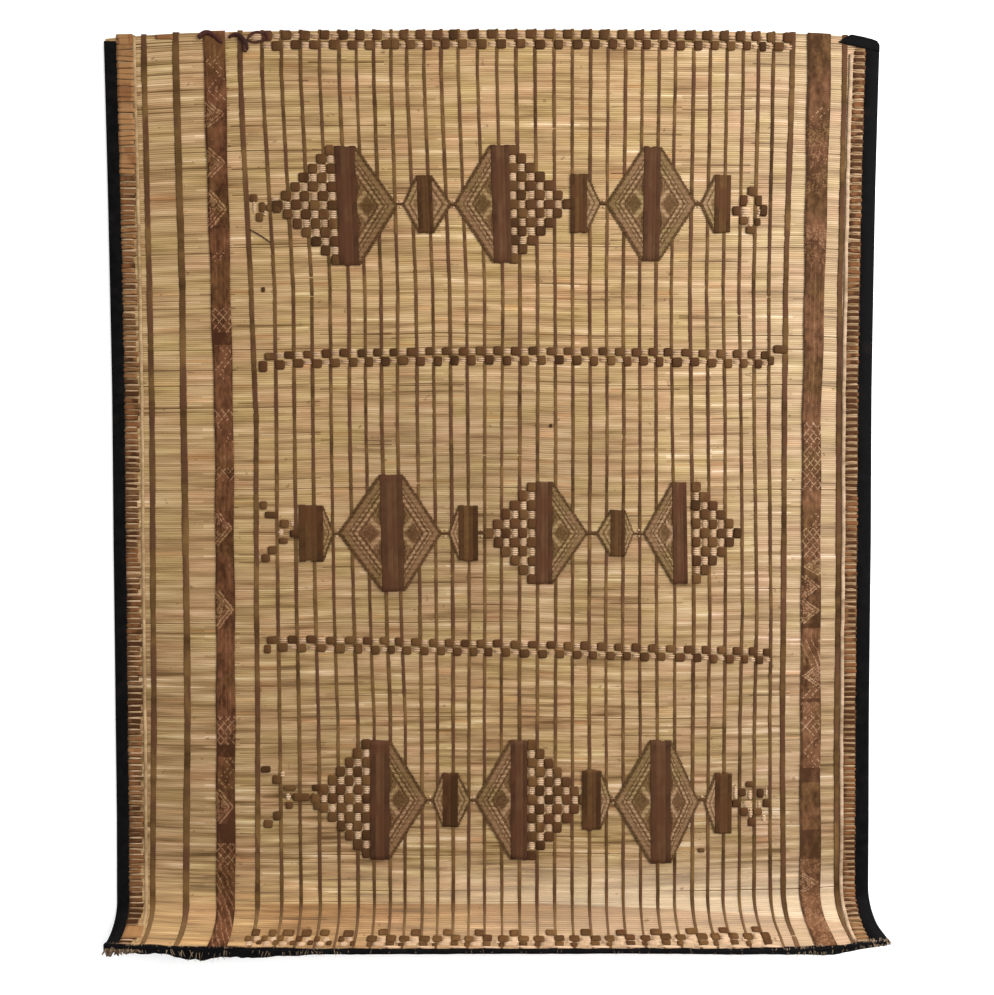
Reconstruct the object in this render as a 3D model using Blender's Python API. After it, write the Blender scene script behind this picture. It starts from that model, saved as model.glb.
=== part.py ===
# Mat of grass stalks held by woven leather strips, lying face up, its lower end curled up.
# Metres, +Z up. +X is the mat's right side, +Y its top end, and z = 0 is the floor under it.

import math
from collections import namedtuple

import bmesh
import bpy

# Driving dimensions

MAT = "tuareg_mat"
MILLIMETRE = 0.001

HALF_WIDTH = 0.760          # from the middle to each bound side, half way along
END_SPREAD = 0.0045         # each side lies this much further out by the two ends
TOP_END = 0.9056            # top end of the mat, on its middle line
TOP_ARCH = 0.016            # the top end is this much shorter at its corners
LOWER_RUN = 0.947           # from the origin to the lower end, measured along the mat
LOWER_ARCH = 0.013          # the lower end is this much shorter at its corners

BEND_LINE = -0.843          # where the lower end starts to curl up, on the left and in the middle
BEND_LIFT = 0.031           # the curl starts this much earlier on the right
BEND_LIFT_FROM = 0.10       # the curl's line rises from here
BEND_LIFT_TO = 0.72         # to here
CURL_RADIUS = 0.063         # to the mat's underside
CURL_TURN = math.radians(90)
CURL_STEPS = 7
CURL_LIFT = 0.0006          # what lies over the strips there clears their straight facets

GAP = 0.0003                # between pieces that touch
STALKS = 0.0050             # thickness of the layer of stalks
REBATE_LOW = 0.0016         # the stalks' ends, thinned where the side bindings fold over them
REBATE_HIGH = 0.0040
REBATE_SLOPE = 0.0015
REBATE_INSET = 0.0017       # the stalks' ends lie this far inside the binding's outer face

STRIP_LEATHER = 0.0011      # thickness of a leather strip over the stalks
FIGURE_LEATHER = 0.0011     # thickness of the woven leather figures over the strips
BAND_LEATHER = 0.0013
LACING_LEATHER = 0.0010
BINDING_LEATHER = 0.0013
CORD_HEIGHT = 0.0030

LEFT_BINDING = 0.0265       # width of the folded binding on the mat's face
RIGHT_BINDING = 0.0300
END_BINDING = 0.012
LACING = 0.0235             # width of the laced edge next to each binding
CORD_SHORT_LOW = 0.013      # the edge cords stop this far from the lower end, clear of its binding

# Leather strips, left to right: distance of a strip from the middle line, in millimetres, at
# three places along the mat. The strips between two rows of the table are spaced evenly.

TOP_STATION = 0.821
MIDDLE_STATION = 0.143
LOW_STATION = -0.795

StripPlace = namedtuple("StripPlace", "number top middle low")
STRIP_PLACES = [StripPlace(*row) for row in (
    (1, -688, -681, -691),
    (2, -629, -615, -625),
    (3, -496, -473, -474),
    (4, -454, -431, -428),
    (7, -340, -321, -310),
    (11, -199, -190, -176),
    (12, -168, -149, -142),
    (16, -28, -15, -16),
    (22, 194, 196, 198),
    (27, 362, 360, 371),
    (31, 495, 497, 501),
    (33, 555, 552, 565),
    (34, 594, 583, 590),
    (35, 694, 691, 697),
)]
STRIPS = 35
THONG_WIDTH = 0.009         # the narrow strips 4 to 33
WIDE_STRIPS = {1: 0.014, 2: 0.014, 3: 0.012, 34: 0.013, 35: 0.011}
FIRST_THONG = 3             # the check rows run from this strip
LAST_THONG = 34             # to this one

# Woven bands: left and right edge in millimetres, at the same three places

Band = namedtuple("Band", "name top_left top_right middle_left middle_right low_left low_right")
BANDS = [Band(*row) for row in (
    ("woven_band_left", -567, -521, -553, -513, -564, -522),
    ("woven_band_right", 620, 667, 618, 658, 627, 669),
)]

# Pale cords beside the laced edges, in millimetres: inset is the distance of the cord's middle
# from its side, and the cord stops short of the top end where a corner is folded over

EdgeCord = namedtuple("EdgeCord", "name side inset width short_top")
EDGE_CORDS = [EdgeCord(*row) for row in (
    ("edge_cord_left", -1, 61.0, 7.0, 0.0),
    ("edge_cord_right", 1, 56.5, 5.0, 30.0),
)]

# Woven figures, in millimetres: each tapers from its upright bar to a point on either side

Figure = namedtuple("Figure", "row left bar_left bar_right right half_height")
FIGURES = [Figure(*row) for row in (
    (1, -409, -306, -264, -195, 113),
    (1, -173, -145, -116, -84, 56),
    (1, -72, -3, 37, 153, 115),
    (1, 154, 154, 195, 215, 57),
    (1, 227, 300, 332, 403, 111),
    (1, 413, 443, 474, 474, 56),
    (2, -384, -384, -336, -314, 56),
    (2, -304, -220, -176, -101, 116),
    (2, -85, -65, -27, -27, 55),
    (2, -13, 89, 121, 191, 102),
    (2, 210, 238, 266, 284, 47),
    (2, 304, 362, 390, 504, 101),
    (3, -360, -244, -206, -133, 121),
    (3, -119, -98, -68, -44, 55),
    (3, -32, 39, 72, 181, 122),
    (3, 183, 183, 220, 242, 61),
    (3, 248, 321, 361, 418, 121),
    (3, 430, 453, 487, 487, 62),
)]
FigureRow = namedtuple("FigureRow", "number centre left_tail left_reach right_tail right_reach")
FIGURE_ROWS = [FigureRow(*row) for row in (
    (1, 567, "block", -474, "ring", 546),
    (2, -83, "fork", -472, "none", 504),
    (3, -622, "fork", -476, "ring", 564),
)]
NECK = 0.0025               # half height of the leather that joins one figure to the next
BLOCK_HALF = 0.028          # half height of a solid tail
BLOCK_PEAK = 0.023          # from its point to where it is highest
BLOCK_LENGTH = 0.048        # and to its neck
FORK_OUTER = 0.062          # how far a forked tail opens to each side of its row
FORK_INNER = 0.046
FORK_DEPTH = 0.058
FORK_ARM = 0.024
RING_HALF = 0.045           # half height of a ring tail, and of the hole in it
RING_HOLE = 0.024
RING_STEM = 0.016

# Check rows, in millimetres: place along the mat of the line between the two lines of squares,
# at the row's left and right end, and the height of the squares above it and below it

CheckRow = namedtuple("CheckRow", "name left right above below")
CHECK_ROWS = [CheckRow(*row) for row in (
    ("check_row_2", 264, 264, 16, 18),
    ("check_row_3", -307, -330, 17, 18),
)]
TOP_CHECK_ABOVE = 0.021     # the squares that fold over the top end, and those under them
TOP_CHECK_BELOW = 0.018
TOP_CHECK_INSET = 0.019
LOW_CHECK_RISE = 0.034      # from the lower end up to the last check row's line
LOW_CHECK_HALF = 0.014
CORNER_OVERLAP = 0.0006     # squares that meet at their corners share this much

# Leather folded over the right corner of the top end

FOLD_REACH = 0.082          # from the side to the fold's tip
FOLD_DROP = 0.028           # how far it comes down from the top end, next to the binding
FOLD_KNEE = 0.022           # from the binding to the bend in its lower edge
FOLD_KNEE_DROP = 0.0126
FOLD_LAP = 0.004            # over the binding

# Colour, roughness and metallic value of each material

MATERIALS = {
    "straw": ((0.50, 0.33, 0.17, 1.0), 0.62, 0.0),
    "brown_leather": ((0.14, 0.065, 0.028, 1.0), 0.60, 0.0),
    "rust_leather": ((0.27, 0.15, 0.08, 1.0), 0.60, 0.0),
    "black_leather": ((0.007, 0.006, 0.006, 1.0), 0.55, 0.0),
    "grass_cord": ((0.62, 0.45, 0.28, 1.0), 0.75, 0.0),
}


# Scene

for item in list(bpy.data.objects):
    bpy.data.objects.remove(item, do_unlink=True)

collection = bpy.data.collections.new(MAT)
bpy.context.scene.collection.children.link(collection)


def make_material(name):
    colour, roughness, metallic = MATERIALS[name]
    material = bpy.data.materials.new(name)
    material.use_nodes = True
    shader = material.node_tree.nodes["Principled BSDF"]
    shader.inputs["Base Color"].default_value = colour
    shader.inputs["Roughness"].default_value = roughness
    shader.inputs["Metallic"].default_value = metallic
    material.diffuse_color = colour
    return material


materials = {name: make_material(name) for name in MATERIALS}


# The mat's surface

def smooth(low, high, value):
    part = min(max((value - low) / (high - low), 0.0), 1.0)
    return part * part * (3.0 - 2.0 * part)


def half_width(run):
    return HALF_WIDTH + END_SPREAD * (run / TOP_END) ** 2


def top_end(x):
    return TOP_END - TOP_ARCH * (x / HALF_WIDTH) ** 4


def lower_end(x):
    return -LOWER_RUN + LOWER_ARCH * (x / HALF_WIDTH) ** 4


def bend_line(x):
    return BEND_LINE + BEND_LIFT * smooth(BEND_LIFT_FROM, BEND_LIFT_TO, x)


def place(x, run, height):
    # run is measured along the mat towards its top end, height from its underside
    past = bend_line(x) - run
    if past <= 0.0:
        return (x, run, height)
    turn = min(past / CURL_RADIUS, CURL_TURN)
    straight = past - turn * CURL_RADIUS
    inner = CURL_RADIUS - height
    y = bend_line(x) - inner * math.sin(turn) - straight * math.cos(turn)
    z = CURL_RADIUS - inner * math.cos(turn) + straight * math.sin(turn)
    return (x, y, z)


def stations(line):
    # places along the mat where a line that gives x for each of them has its points
    bend = bend_line(line(LOW_STATION))
    rest = bend - lower_end(line(-LOWER_RUN))
    curl = [bend - rest * step / CURL_STEPS for step in range(CURL_STEPS + 1)]
    return [top_end(line(TOP_END)), TOP_STATION, MIDDLE_STATION, LOW_STATION] + curl


def between(run, top, middle, low):
    # a line across the three measured places, parallel to the sides beyond them
    if run >= TOP_STATION:
        return top
    if run >= MIDDLE_STATION:
        part = (run - MIDDLE_STATION) / (TOP_STATION - MIDDLE_STATION)
        return middle + (top - middle) * part
    if run >= LOW_STATION:
        part = (run - LOW_STATION) / (MIDDLE_STATION - LOW_STATION)
        return low + (middle - low) * part
    return low


def strip_line(number):
    # the strip's distance from the middle line at the top, middle and low station
    for before, after in zip(STRIP_PLACES, STRIP_PLACES[1:]):
        if before.number <= number <= after.number:
            part = (number - before.number) / (after.number - before.number)
            return [(a + (b - a) * part) * MILLIMETRE for a, b in zip(before[1:], after[1:])]
    raise ValueError(number)


def strip_x(number, run):
    return between(run, *strip_line(number))


def middle_x(number):
    return strip_line(number)[1]


# Solids

def add_object(name, mesh, material):
    mesh.materials.append(materials[material])
    piece = bpy.data.objects.new(name, mesh)
    collection.objects.link(piece)
    return piece


def layered_solid(name, low, high, material):
    # a grid of points and the layer of points over it, joined round the rim
    columns = len(low)
    rows = len(low[0])
    bm = bmesh.new()
    bmesh.ops.create_grid(bm, x_segments=columns - 1, y_segments=rows - 1, size=0.5)
    cells = {}
    for vert in bm.verts:
        column = round((vert.co.x + 0.5) * (columns - 1))
        row = round((vert.co.y + 0.5) * (rows - 1))
        cells[vert] = (column, row)
    raised = bmesh.ops.extrude_face_region(bm, geom=list(bm.faces))
    for vert in [item for item in raised["geom"] if isinstance(item, bmesh.types.BMVert)]:
        column = round((vert.co.x + 0.5) * (columns - 1))
        row = round((vert.co.y + 0.5) * (rows - 1))
        vert.co = high[column][row]
    for vert, (column, row) in cells.items():
        vert.co = low[column][row]
    bmesh.ops.recalc_face_normals(bm, faces=list(bm.faces))
    if bm.calc_volume(signed=True) < 0.0:
        bmesh.ops.reverse_faces(bm, faces=list(bm.faces))
    mesh = bpy.data.meshes.new(name)
    bm.to_mesh(mesh)
    bm.free()
    return add_object(name, mesh, material)


def flat_strip(name, lines, base, thickness, material, short_top=0.0, short_low=0.0):
    # a strip along the mat, between lines that give x for each place along it; it may stop
    # short of either end
    low = []
    high = []
    for line in lines:
        runs = stations(line)
        runs[0] -= short_top
        runs[-1] += short_low
        low.append([place(line(run), run, base) for run in runs])
        high.append([place(line(run), run, base + thickness) for run in runs])
    return layered_solid(name, low, high, material)


def outline_plate(name, outlines, base, thickness, material):
    # a flat leather piece, from its outer outline and then the outlines of its holes
    curve = bpy.data.curves.new(name, "CURVE")
    curve.dimensions = "2D"
    curve.fill_mode = "BOTH"
    curve.extrude = thickness / 2.0
    for outline in outlines:
        spline = curve.splines.new("POLY")
        spline.points.add(len(outline) - 1)
        for point, (x, y) in zip(spline.points, outline):
            point.co = (x, y, 0.0, 1.0)
        spline.use_cyclic_u = True
    curve.materials.append(materials[material])
    piece = bpy.data.objects.new(name, curve)
    piece.location.z = base + thickness / 2.0
    collection.objects.link(piece)
    return piece


# Stalks

def side_line(sign, inset):
    return lambda run: sign * (half_width(run) - inset)


def strip_middle(number):
    return lambda run: strip_x(number, run)


def band_edges(band):
    left = (band.top_left, band.middle_left, band.low_left)
    right = (band.top_right, band.middle_right, band.low_right)
    return [lambda run, at=at: between(run, *at) * MILLIMETRE for at in (left, right)]


def columns():
    # the lines along the mat that the layer of stalks has its points on, left to right, and
    # whether it is thinned there
    left = LEFT_BINDING + GAP
    right = RIGHT_BINDING + GAP
    lines = [(side_line(-1, REBATE_INSET), True), (side_line(-1, left), True)]
    lines.append((side_line(-1, left + REBATE_SLOPE), False))
    lines += [(strip_middle(number), False) for number in (1, 2)]
    lines += [(edge, False) for edge in band_edges(BANDS[0])]
    lines += [(strip_middle(number), False) for number in range(FIRST_THONG, LAST_THONG + 1)]
    lines += [(edge, False) for edge in band_edges(BANDS[1])]
    lines += [(strip_middle(STRIPS), False), (side_line(1, right + REBATE_SLOPE), False)]
    lines += [(side_line(1, right), True), (side_line(1, REBATE_INSET), True)]
    return lines


def field():
    low = []
    high = []
    for line, thinned in columns():
        under, over = (REBATE_LOW, REBATE_HIGH) if thinned else (0.0, STALKS)
        runs = stations(line)
        low.append([place(line(run), run, under) for run in runs])
        high.append([place(line(run), run, over) for run in runs])
    layered_solid("stalk_field", low, high, "straw")


# Leather over the stalks

def leather_strips():
    for number in range(1, STRIPS + 1):
        half = WIDE_STRIPS.get(number, THONG_WIDTH) / 2.0
        edges = [lambda run, move=move: strip_x(number, run) + move for move in (-half, half)]
        flat_strip(f"leather_strip_{number:02d}", edges, STALKS + GAP, STRIP_LEATHER, "brown_leather")


def woven_bands():
    for band in BANDS:
        flat_strip(band.name, band_edges(band), STALKS + GAP, BAND_LEATHER, "brown_leather")


def laced_edges():
    sides = (("laced_edge_left", -1, LEFT_BINDING), ("laced_edge_right", 1, RIGHT_BINDING))
    for name, sign, binding in sides:
        insets = (binding + LACING, binding + GAP)
        edges = [side_line(sign, inset) for inset in insets]
        flat_strip(name, edges, STALKS + GAP, LACING_LEATHER, "rust_leather")


def edge_cords():
    for cord in EDGE_CORDS:
        insets = (cord.inset + cord.width / 2.0, cord.inset - cord.width / 2.0)
        edges = [side_line(cord.side, inset * MILLIMETRE) for inset in insets]
        short = cord.short_top * MILLIMETRE
        flat_strip(cord.name, edges, STALKS + GAP, CORD_HEIGHT, "grass_cord", short, CORD_SHORT_LOW)


# Bindings

def side_binding(name, sign, width):
    # one leather strip folded round the side, from the mat's underside to its face
    top = REBATE_HIGH + GAP + BINDING_LEATHER
    leather = BINDING_LEATHER
    inside = ((width, leather), (leather, leather), (leather, top - leather), (width, top - leather))
    outside = ((width, 0.0), (0.0, 0.0), (0.0, top), (width, top))

    def layer(path):
        points = []
        for inset, height in path:
            line = side_line(sign, inset)
            points.append([place(line(run), run, height) for run in stations(line)])
        return points

    layered_solid(name, layer(inside), layer(outside), "black_leather")


def end_binding():
    # one leather strip folded round the curled end
    under = -GAP
    over = STALKS + STRIP_LEATHER + 2.0 * GAP + CURL_LIFT
    leather = BINDING_LEATHER
    inside = ((END_BINDING, under), (under, under), (under, over), (END_BINDING, over))
    outer_end = under - leather
    outer_over = over + leather
    outside = ((END_BINDING, outer_end), (outer_end, outer_end), (outer_end, outer_over),
               (END_BINDING, outer_over))
    inner = [line(-LOWER_RUN) for line, thinned in columns()]
    reach = half_width(-LOWER_RUN)
    across = [-reach] + inner[1:-1] + [reach]

    def layer(path):
        return [[place(x, lower_end(x) + inset, height) for inset, height in path] for x in across]

    layered_solid("end_binding", layer(inside), layer(outside), "black_leather")


# Figures

def mirrored(upper):
    # the outline of a piece that is alike above and below its row's middle line
    lower = [(x, -y) for x, y in reversed(upper) if y > 0.0]
    return upper + lower


def left_tail(row):
    reach = row.left_reach * MILLIMETRE
    if row.left_tail == "block":
        return [(reach, 0.0), (reach + BLOCK_PEAK, BLOCK_HALF), (reach + BLOCK_LENGTH, NECK)]
    notch = (reach + FORK_DEPTH, 0.0)
    tips = [(reach, FORK_INNER), (reach + FORK_ARM / 2.0, FORK_OUTER)]
    return [notch] + tips + [(reach + FORK_DEPTH + FORK_ARM, NECK)]


def ring_tail(start, row):
    # a ring and the outline of its hole
    reach = row.right_reach * MILLIMETRE
    middle = (start + reach) / 2.0
    hole = (reach - middle) * RING_HOLE / RING_HALF
    outer = [(start, NECK), (middle, RING_HALF), (reach, 0.0)]
    inner = [(middle - hole, 0.0), (middle, RING_HOLE), (middle + hole, 0.0), (middle, -RING_HOLE)]
    return outer, inner


def row_outlines(row):
    upper = left_tail(row)
    last = 0.0
    for figure in FIGURES:
        if figure.row == row.number:
            left, bar_left, bar_right, last, half = (value * MILLIMETRE for value in figure[1:])
            upper += [(left, NECK), (bar_left, half), (bar_right, half), (last, NECK)]
    holes = []
    if row.right_tail == "ring":
        outer, inner = ring_tail(last + RING_STEM, row)
        upper += outer
        holes.append(inner)
    centre = row.centre * MILLIMETRE
    return [[(x, y + centre) for x, y in points] for points in [mirrored(upper)] + holes]


def figure_rows():
    base = STALKS + STRIP_LEATHER + 2.0 * GAP
    for row in FIGURE_ROWS:
        name = f"figure_row_{row.number}"
        outline_plate(name, row_outlines(row), base, FIGURE_LEATHER, "brown_leather")


# Check rows

def check_row(name, line, above, below, lift=0.0):
    # squares that meet at their corners: below the line after each strip, above it before the next
    base = STALKS + STRIP_LEATHER + 2.0 * GAP + lift
    lap = CORNER_OVERLAP
    corners = []
    for number in range(FIRST_THONG, LAST_THONG):
        run = line(middle_x(number))
        start = strip_x(number, run)
        stop = strip_x(number + 1, run)
        step = (start + stop) / 2.0
        if number > FIRST_THONG:
            start += lap
        corners += [(start, -below(start), lap), (step - lap, -below(step), lap)]
        corners += [(step + lap, -lap, above(step))]
        corners += [(stop - lap, -lap, above(stop))]
    low = []
    high = []
    for x, bottom, top in corners:
        edges = [line(x) + bottom, line(x) + top]
        low.append([place(x, run, base) for run in edges])
        high.append([place(x, run, base + FIGURE_LEATHER) for run in edges])
    layered_solid(name, low, high, "brown_leather")


def check_rows():
    def top_line(x):
        return top_end(x) - TOP_CHECK_INSET

    def low_line(x):
        return lower_end(x) + LOW_CHECK_RISE

    first = middle_x(FIRST_THONG)
    last = middle_x(LAST_THONG)
    check_row("check_row_1", top_line, lambda x: TOP_CHECK_ABOVE, lambda x: TOP_CHECK_BELOW)
    for row in CHECK_ROWS:
        left, right, above, below = (value * MILLIMETRE for value in row[1:])

        def line(x, left=left, right=right):
            return left + (right - left) * (x - first) / (last - first)

        check_row(row.name, line, lambda x, above=above: above, lambda x, below=below: below)
    check_row("check_row_4", low_line, lambda x: LOW_CHECK_HALF, lambda x: LOW_CHECK_HALF, CURL_LIFT)


# Corner

def corner_fold():
    # the right binding's end, turned in over the top end
    side = half_width(TOP_END) - RIGHT_BINDING
    tip = half_width(TOP_END) - FOLD_REACH
    knee = side - FOLD_KNEE
    lap = side + FOLD_LAP
    outline = [(tip, top_end(tip)), (knee, top_end(knee) - FOLD_KNEE_DROP)]
    outline += [(lap, top_end(side) - FOLD_DROP), (lap, top_end(side))]
    base = STALKS + STRIP_LEATHER + 2.0 * GAP
    outline_plate("corner_fold", [outline], base, BINDING_LEATHER, "black_leather")


field()
leather_strips()
woven_bands()
laced_edges()
edge_cords()
side_binding("side_binding_left", -1, LEFT_BINDING)
side_binding("side_binding_right", 1, RIGHT_BINDING)
end_binding()
figure_rows()
check_rows()
corner_fold()
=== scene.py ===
# Tuareg mat: grass stalks held by woven leather strips, lying face up with its lower end curled up.
# Metres, +X to the mat's right side, +Y to its top end, the floor at z = 0.

import math

import bmesh
import bpy
import numpy as np
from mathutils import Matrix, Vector


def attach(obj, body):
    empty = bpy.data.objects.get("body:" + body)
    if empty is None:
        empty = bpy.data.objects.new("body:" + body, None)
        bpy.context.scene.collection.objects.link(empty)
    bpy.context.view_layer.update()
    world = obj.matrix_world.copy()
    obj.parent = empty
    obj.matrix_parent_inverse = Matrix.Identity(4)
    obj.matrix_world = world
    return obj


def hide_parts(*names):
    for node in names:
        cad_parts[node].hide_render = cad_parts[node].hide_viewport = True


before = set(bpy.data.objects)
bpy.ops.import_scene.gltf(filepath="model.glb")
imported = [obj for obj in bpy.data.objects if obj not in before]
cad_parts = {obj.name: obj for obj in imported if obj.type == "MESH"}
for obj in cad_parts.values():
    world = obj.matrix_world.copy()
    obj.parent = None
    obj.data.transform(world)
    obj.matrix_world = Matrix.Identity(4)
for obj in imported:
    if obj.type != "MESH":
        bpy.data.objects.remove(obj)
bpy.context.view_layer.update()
bpy.ops.object.select_all(action="DESELECT")
scene = bpy.context.scene
chance = np.random.RandomState(41)
millimetre = 0.001
print("frame loaded")


# Camera, where the photograph was taken from: over the mat's middle, looking almost straight down

cameraView = {
    "place": (0.0110, 0.0343, 1.5617),
    "target": (0.0110, -0.0120, 0.0),
    "lens": 28.25,           # millimetres, on a sensor 36 mm wide
    "sensor": 36.0,
}


def addCamera():
    data = bpy.data.cameras.new("camera")
    data.sensor_fit = "HORIZONTAL"
    data.sensor_width = cameraView["sensor"]
    data.lens = cameraView["lens"]
    camera = bpy.data.objects.new("camera", data)
    scene.collection.objects.link(camera)
    back = Vector(cameraView["place"]) - Vector(cameraView["target"])
    camera.location = cameraView["place"]
    camera.rotation_euler = (-math.atan2(back.y, back.z), 0.0, 0.0)
    scene.camera = camera


addCamera()


# Shape of the mat, close on its solids. A run is a distance along the mat, from its middle towards
# its top end, and x is measured across it.

mat = {
    "halfWidth": 0.760,
    "endSpread": 0.0045,     # how much wider the mat is at its ends
    "topEnd": 0.9056,
    "topArch": 0.016,
    "topCorner": 0.010,      # how much lower its right corner is, between these places
    "cornerSpan": (0.725, 0.762),
    "lowerRun": 0.942,
    "lowerArch": 0.016,
    "bendLine": -0.832,      # the run where the lower end starts to curl
    "bendLift": 0.028,       # how much sooner it does so at the right
    "bendLiftSpan": (0.10, 0.72),
    "curlRadius": 0.063,
    "curlTurn": math.radians(90),
    "rightLean": math.radians(19),       # how much less it turns up towards the right
    "leanSpan": (0.12, 0.58),
    "cornerUpright": 0.55,   # share of the lean that the right corner doesn't have
    "uprightSpan": (0.64, 0.76),
    "wave": 0.0013,          # mean height of the soft waves of the laid mat
}
matLength = mat["topEnd"] + mat["lowerRun"]
# How far the long sides are drawn in, in millimetres: run, left, right
sideDraw = (
    (-0.945, 4.5, -6),
    (-0.925, 4.5, -4),
    (-0.88, 4.2, -1),
    (-0.80, 4.2, 0),
    (-0.66, 4.8, 0),
    (-0.45, 4.0, 1),
    (-0.10, 3.8, 1),
    (0.20, 5.6, 4),
    (0.60, 4.6, 4),
    (0.90, 3.4, 2),
)

# Distance of each leather strip from the middle line, in millimetres, at the runs in stripRuns.
# Strips between two rows are spaced evenly.
stripRuns = (0.821, 0.401, 0.143, -0.243, -0.455, -0.805)
stripPlaces = (
    (1, -682, -677, -675, -678, -679, -687),
    (2, -619, -612, -612, -611, -611, -619),
    (3, -493, -476, -468, -471, -470, -474),
    (4, -450, -429, -428, -428, -426, -425),
    (7, -337, -319, -319, -315, -309, -308),
    (8, -299, -282, -282, -276, -269, -270),
    (10, -231, -218, -218, -210, -203, -205),
    (11, -197, -185, -187, -181, -173, -175),
    (12, -166, -149, -147, -143, -140, -140),
    (15, -65, -49, -47, -44, -45, -46),
    (16, -27, -13, -13, -13, -14, -14),
    (17, 11, 23, 21, 20, 20, 21),
    (20, 123, 126, 128, 129, 129, 128),
    (22, 195, 195, 197, 196, 197, 199),
    (24, 264, 261, 264, 263, 265, 267),
    (26, 330, 326, 328, 331, 334, 337),
    (27, 362, 356, 360, 368, 369, 371),
    (28, 398, 393, 398, 406, 405, 407),
    (30, 463, 459, 465, 469, 469, 469),
    (31, 495, 490, 497, 503, 500, 502),
    (32, 525, 519, 523, 532, 529, 532),
    (33, 554, 549, 552, 560, 560, 565),
    (34, 591, 582, 583, 585, 585, 591),
    (35, 694, 690, 691, 695, 694, 699),
)
# Left and right edge of each woven band, in millimetres, at the runs in bandRuns
bandRuns = (0.821, 0.143, -0.450, -0.795)
bandPlaces = {
    "woven_band_left": ((-564, -550, -553, -557), (-521, -513, -515, -519)),
    "woven_band_right": ((620, 618, 621, 624), (666, 655, 661, 666)),
}
firstThong = 3
lastThong = 34


def inMetres(*values):
    return [value * millimetre for value in values]


def smoothStep(low, high, value):
    # 0 up to low, 1 from high on
    part = np.clip((value - low) / (high - low), 0.0, 1.0)
    return part * part * (3.0 - 2.0 * part)


def halfWidth(run, sign=-1):
    runs, left, right = np.array(sideDraw).T
    drawn = np.interp(run, runs, left if sign < 0 else right) * millimetre
    return mat["halfWidth"] + mat["endSpread"] * (run / mat["topEnd"]) ** 2 - drawn


def topEnd(x):
    corner = mat["topCorner"] * smoothStep(*mat["cornerSpan"], x)
    return mat["topEnd"] - mat["topArch"] * (x / mat["halfWidth"]) ** 4 - corner


def lowerEnd(x):
    return -mat["lowerRun"] + mat["lowerArch"] * (x / mat["halfWidth"]) ** 4


def bendLine(x):
    return mat["bendLine"] + mat["bendLift"] * smoothStep(*mat["bendLiftSpan"], x)


def curlTurn(x):
    upright = mat["cornerUpright"] * smoothStep(*mat["uprightSpan"], x)
    return mat["curlTurn"] - mat["rightLean"] * (smoothStep(*mat["leanSpan"], x) - upright)


def ripple(x, run):
    # the waves die away towards the mat's sides and where it starts to curl
    waves = np.sin(9.0 * x + 4.0 * run + 0.7) * np.sin(5.0 * run + 0.4) + 0.6 * np.sin(17.0 * run - 6.0 * x)
    sides = 1.0 - smoothStep(0.60, 0.76, np.abs(x))
    low = smoothStep(-0.84, -0.70, run)
    return mat["wave"] * (1.0 + 0.6 * waves) * sides * low


def place(x, run, height):
    # where a point of the mat lies in space: height is measured from the mat's underside
    x, run, height = np.broadcast_arrays(*(np.asarray(part, float) for part in (x, run, height)))
    height = height + ripple(x, run)
    radius = mat["curlRadius"]
    past = np.maximum(bendLine(x) - run, 0.0)
    turn = np.minimum(past / radius, curlTurn(x))
    straight = past - turn * radius
    inner = radius - height
    curledY = bendLine(x) - inner * np.sin(turn) - straight * np.cos(turn)
    curledZ = radius - inner * np.cos(turn) + straight * np.sin(turn)
    flat = past <= 0.0
    return np.stack([x, np.where(flat, run, curledY), np.where(flat, height, curledZ)], axis=-1)


def between(run, runs, values):
    # the tables give their runs from the top end down
    return np.interp(run, runs[::-1], values[::-1])


def stripX(number, run):
    for before, after in zip(stripPlaces, stripPlaces[1:]):
        if before[0] <= number <= after[0]:
            part = (number - before[0]) / (after[0] - before[0])
            stops = [(a + (b - a) * part) * millimetre for a, b in zip(before[1:], after[1:])]
            return between(run, stripRuns, stops)
    raise ValueError(number)


def weaveLines():
    # the lines along the mat that part its panels, left to right
    def side(sign):
        return lambda run: sign * (halfWidth(run, sign) - 0.003)

    def strip(number):
        return lambda run: stripX(number, run)

    def edge(band, side):
        stops = inMetres(*bandPlaces[band][side])
        return lambda run: between(run, bandRuns, stops)

    lines = [side(-1), strip(1), strip(2), edge("woven_band_left", 0), edge("woven_band_left", 1)]
    lines += [strip(number) for number in range(firstThong, lastThong + 1)]
    lines += [edge("woven_band_right", 0), edge("woven_band_right", 1), strip(35), side(1)]
    return lines


panelLines = weaveLines()
lineCount = len(panelLines)


def lineX(line, run):
    # x of a place between the panel lines, such as 4.5 for half way from line 4 to line 5
    run = np.asarray(run, float)
    whole = np.stack([at(run) + 0.0 * run for at in panelLines])
    low = np.clip(np.floor(line).astype(int), 0, lineCount - 2)
    part = line - low
    grid = np.indices(run.shape)
    lowX = whole[(low, *grid)] if run.shape else whole[low]
    highX = whole[(low + 1, *grid)] if run.shape else whole[low + 1]
    return lowX + (highX - lowX) * part


def followX(x, centre, run):
    # where x, given at the run named centre, lies at another run, following the strips
    lines = np.array([float(at(np.float64(centre))) for at in panelLines])
    line = np.interp(x, lines, np.arange(lineCount))
    x, line, run = np.broadcast_arrays(np.asarray(x, float), line, np.asarray(run, float))
    return lineX(line, run)


# Meshes


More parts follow.
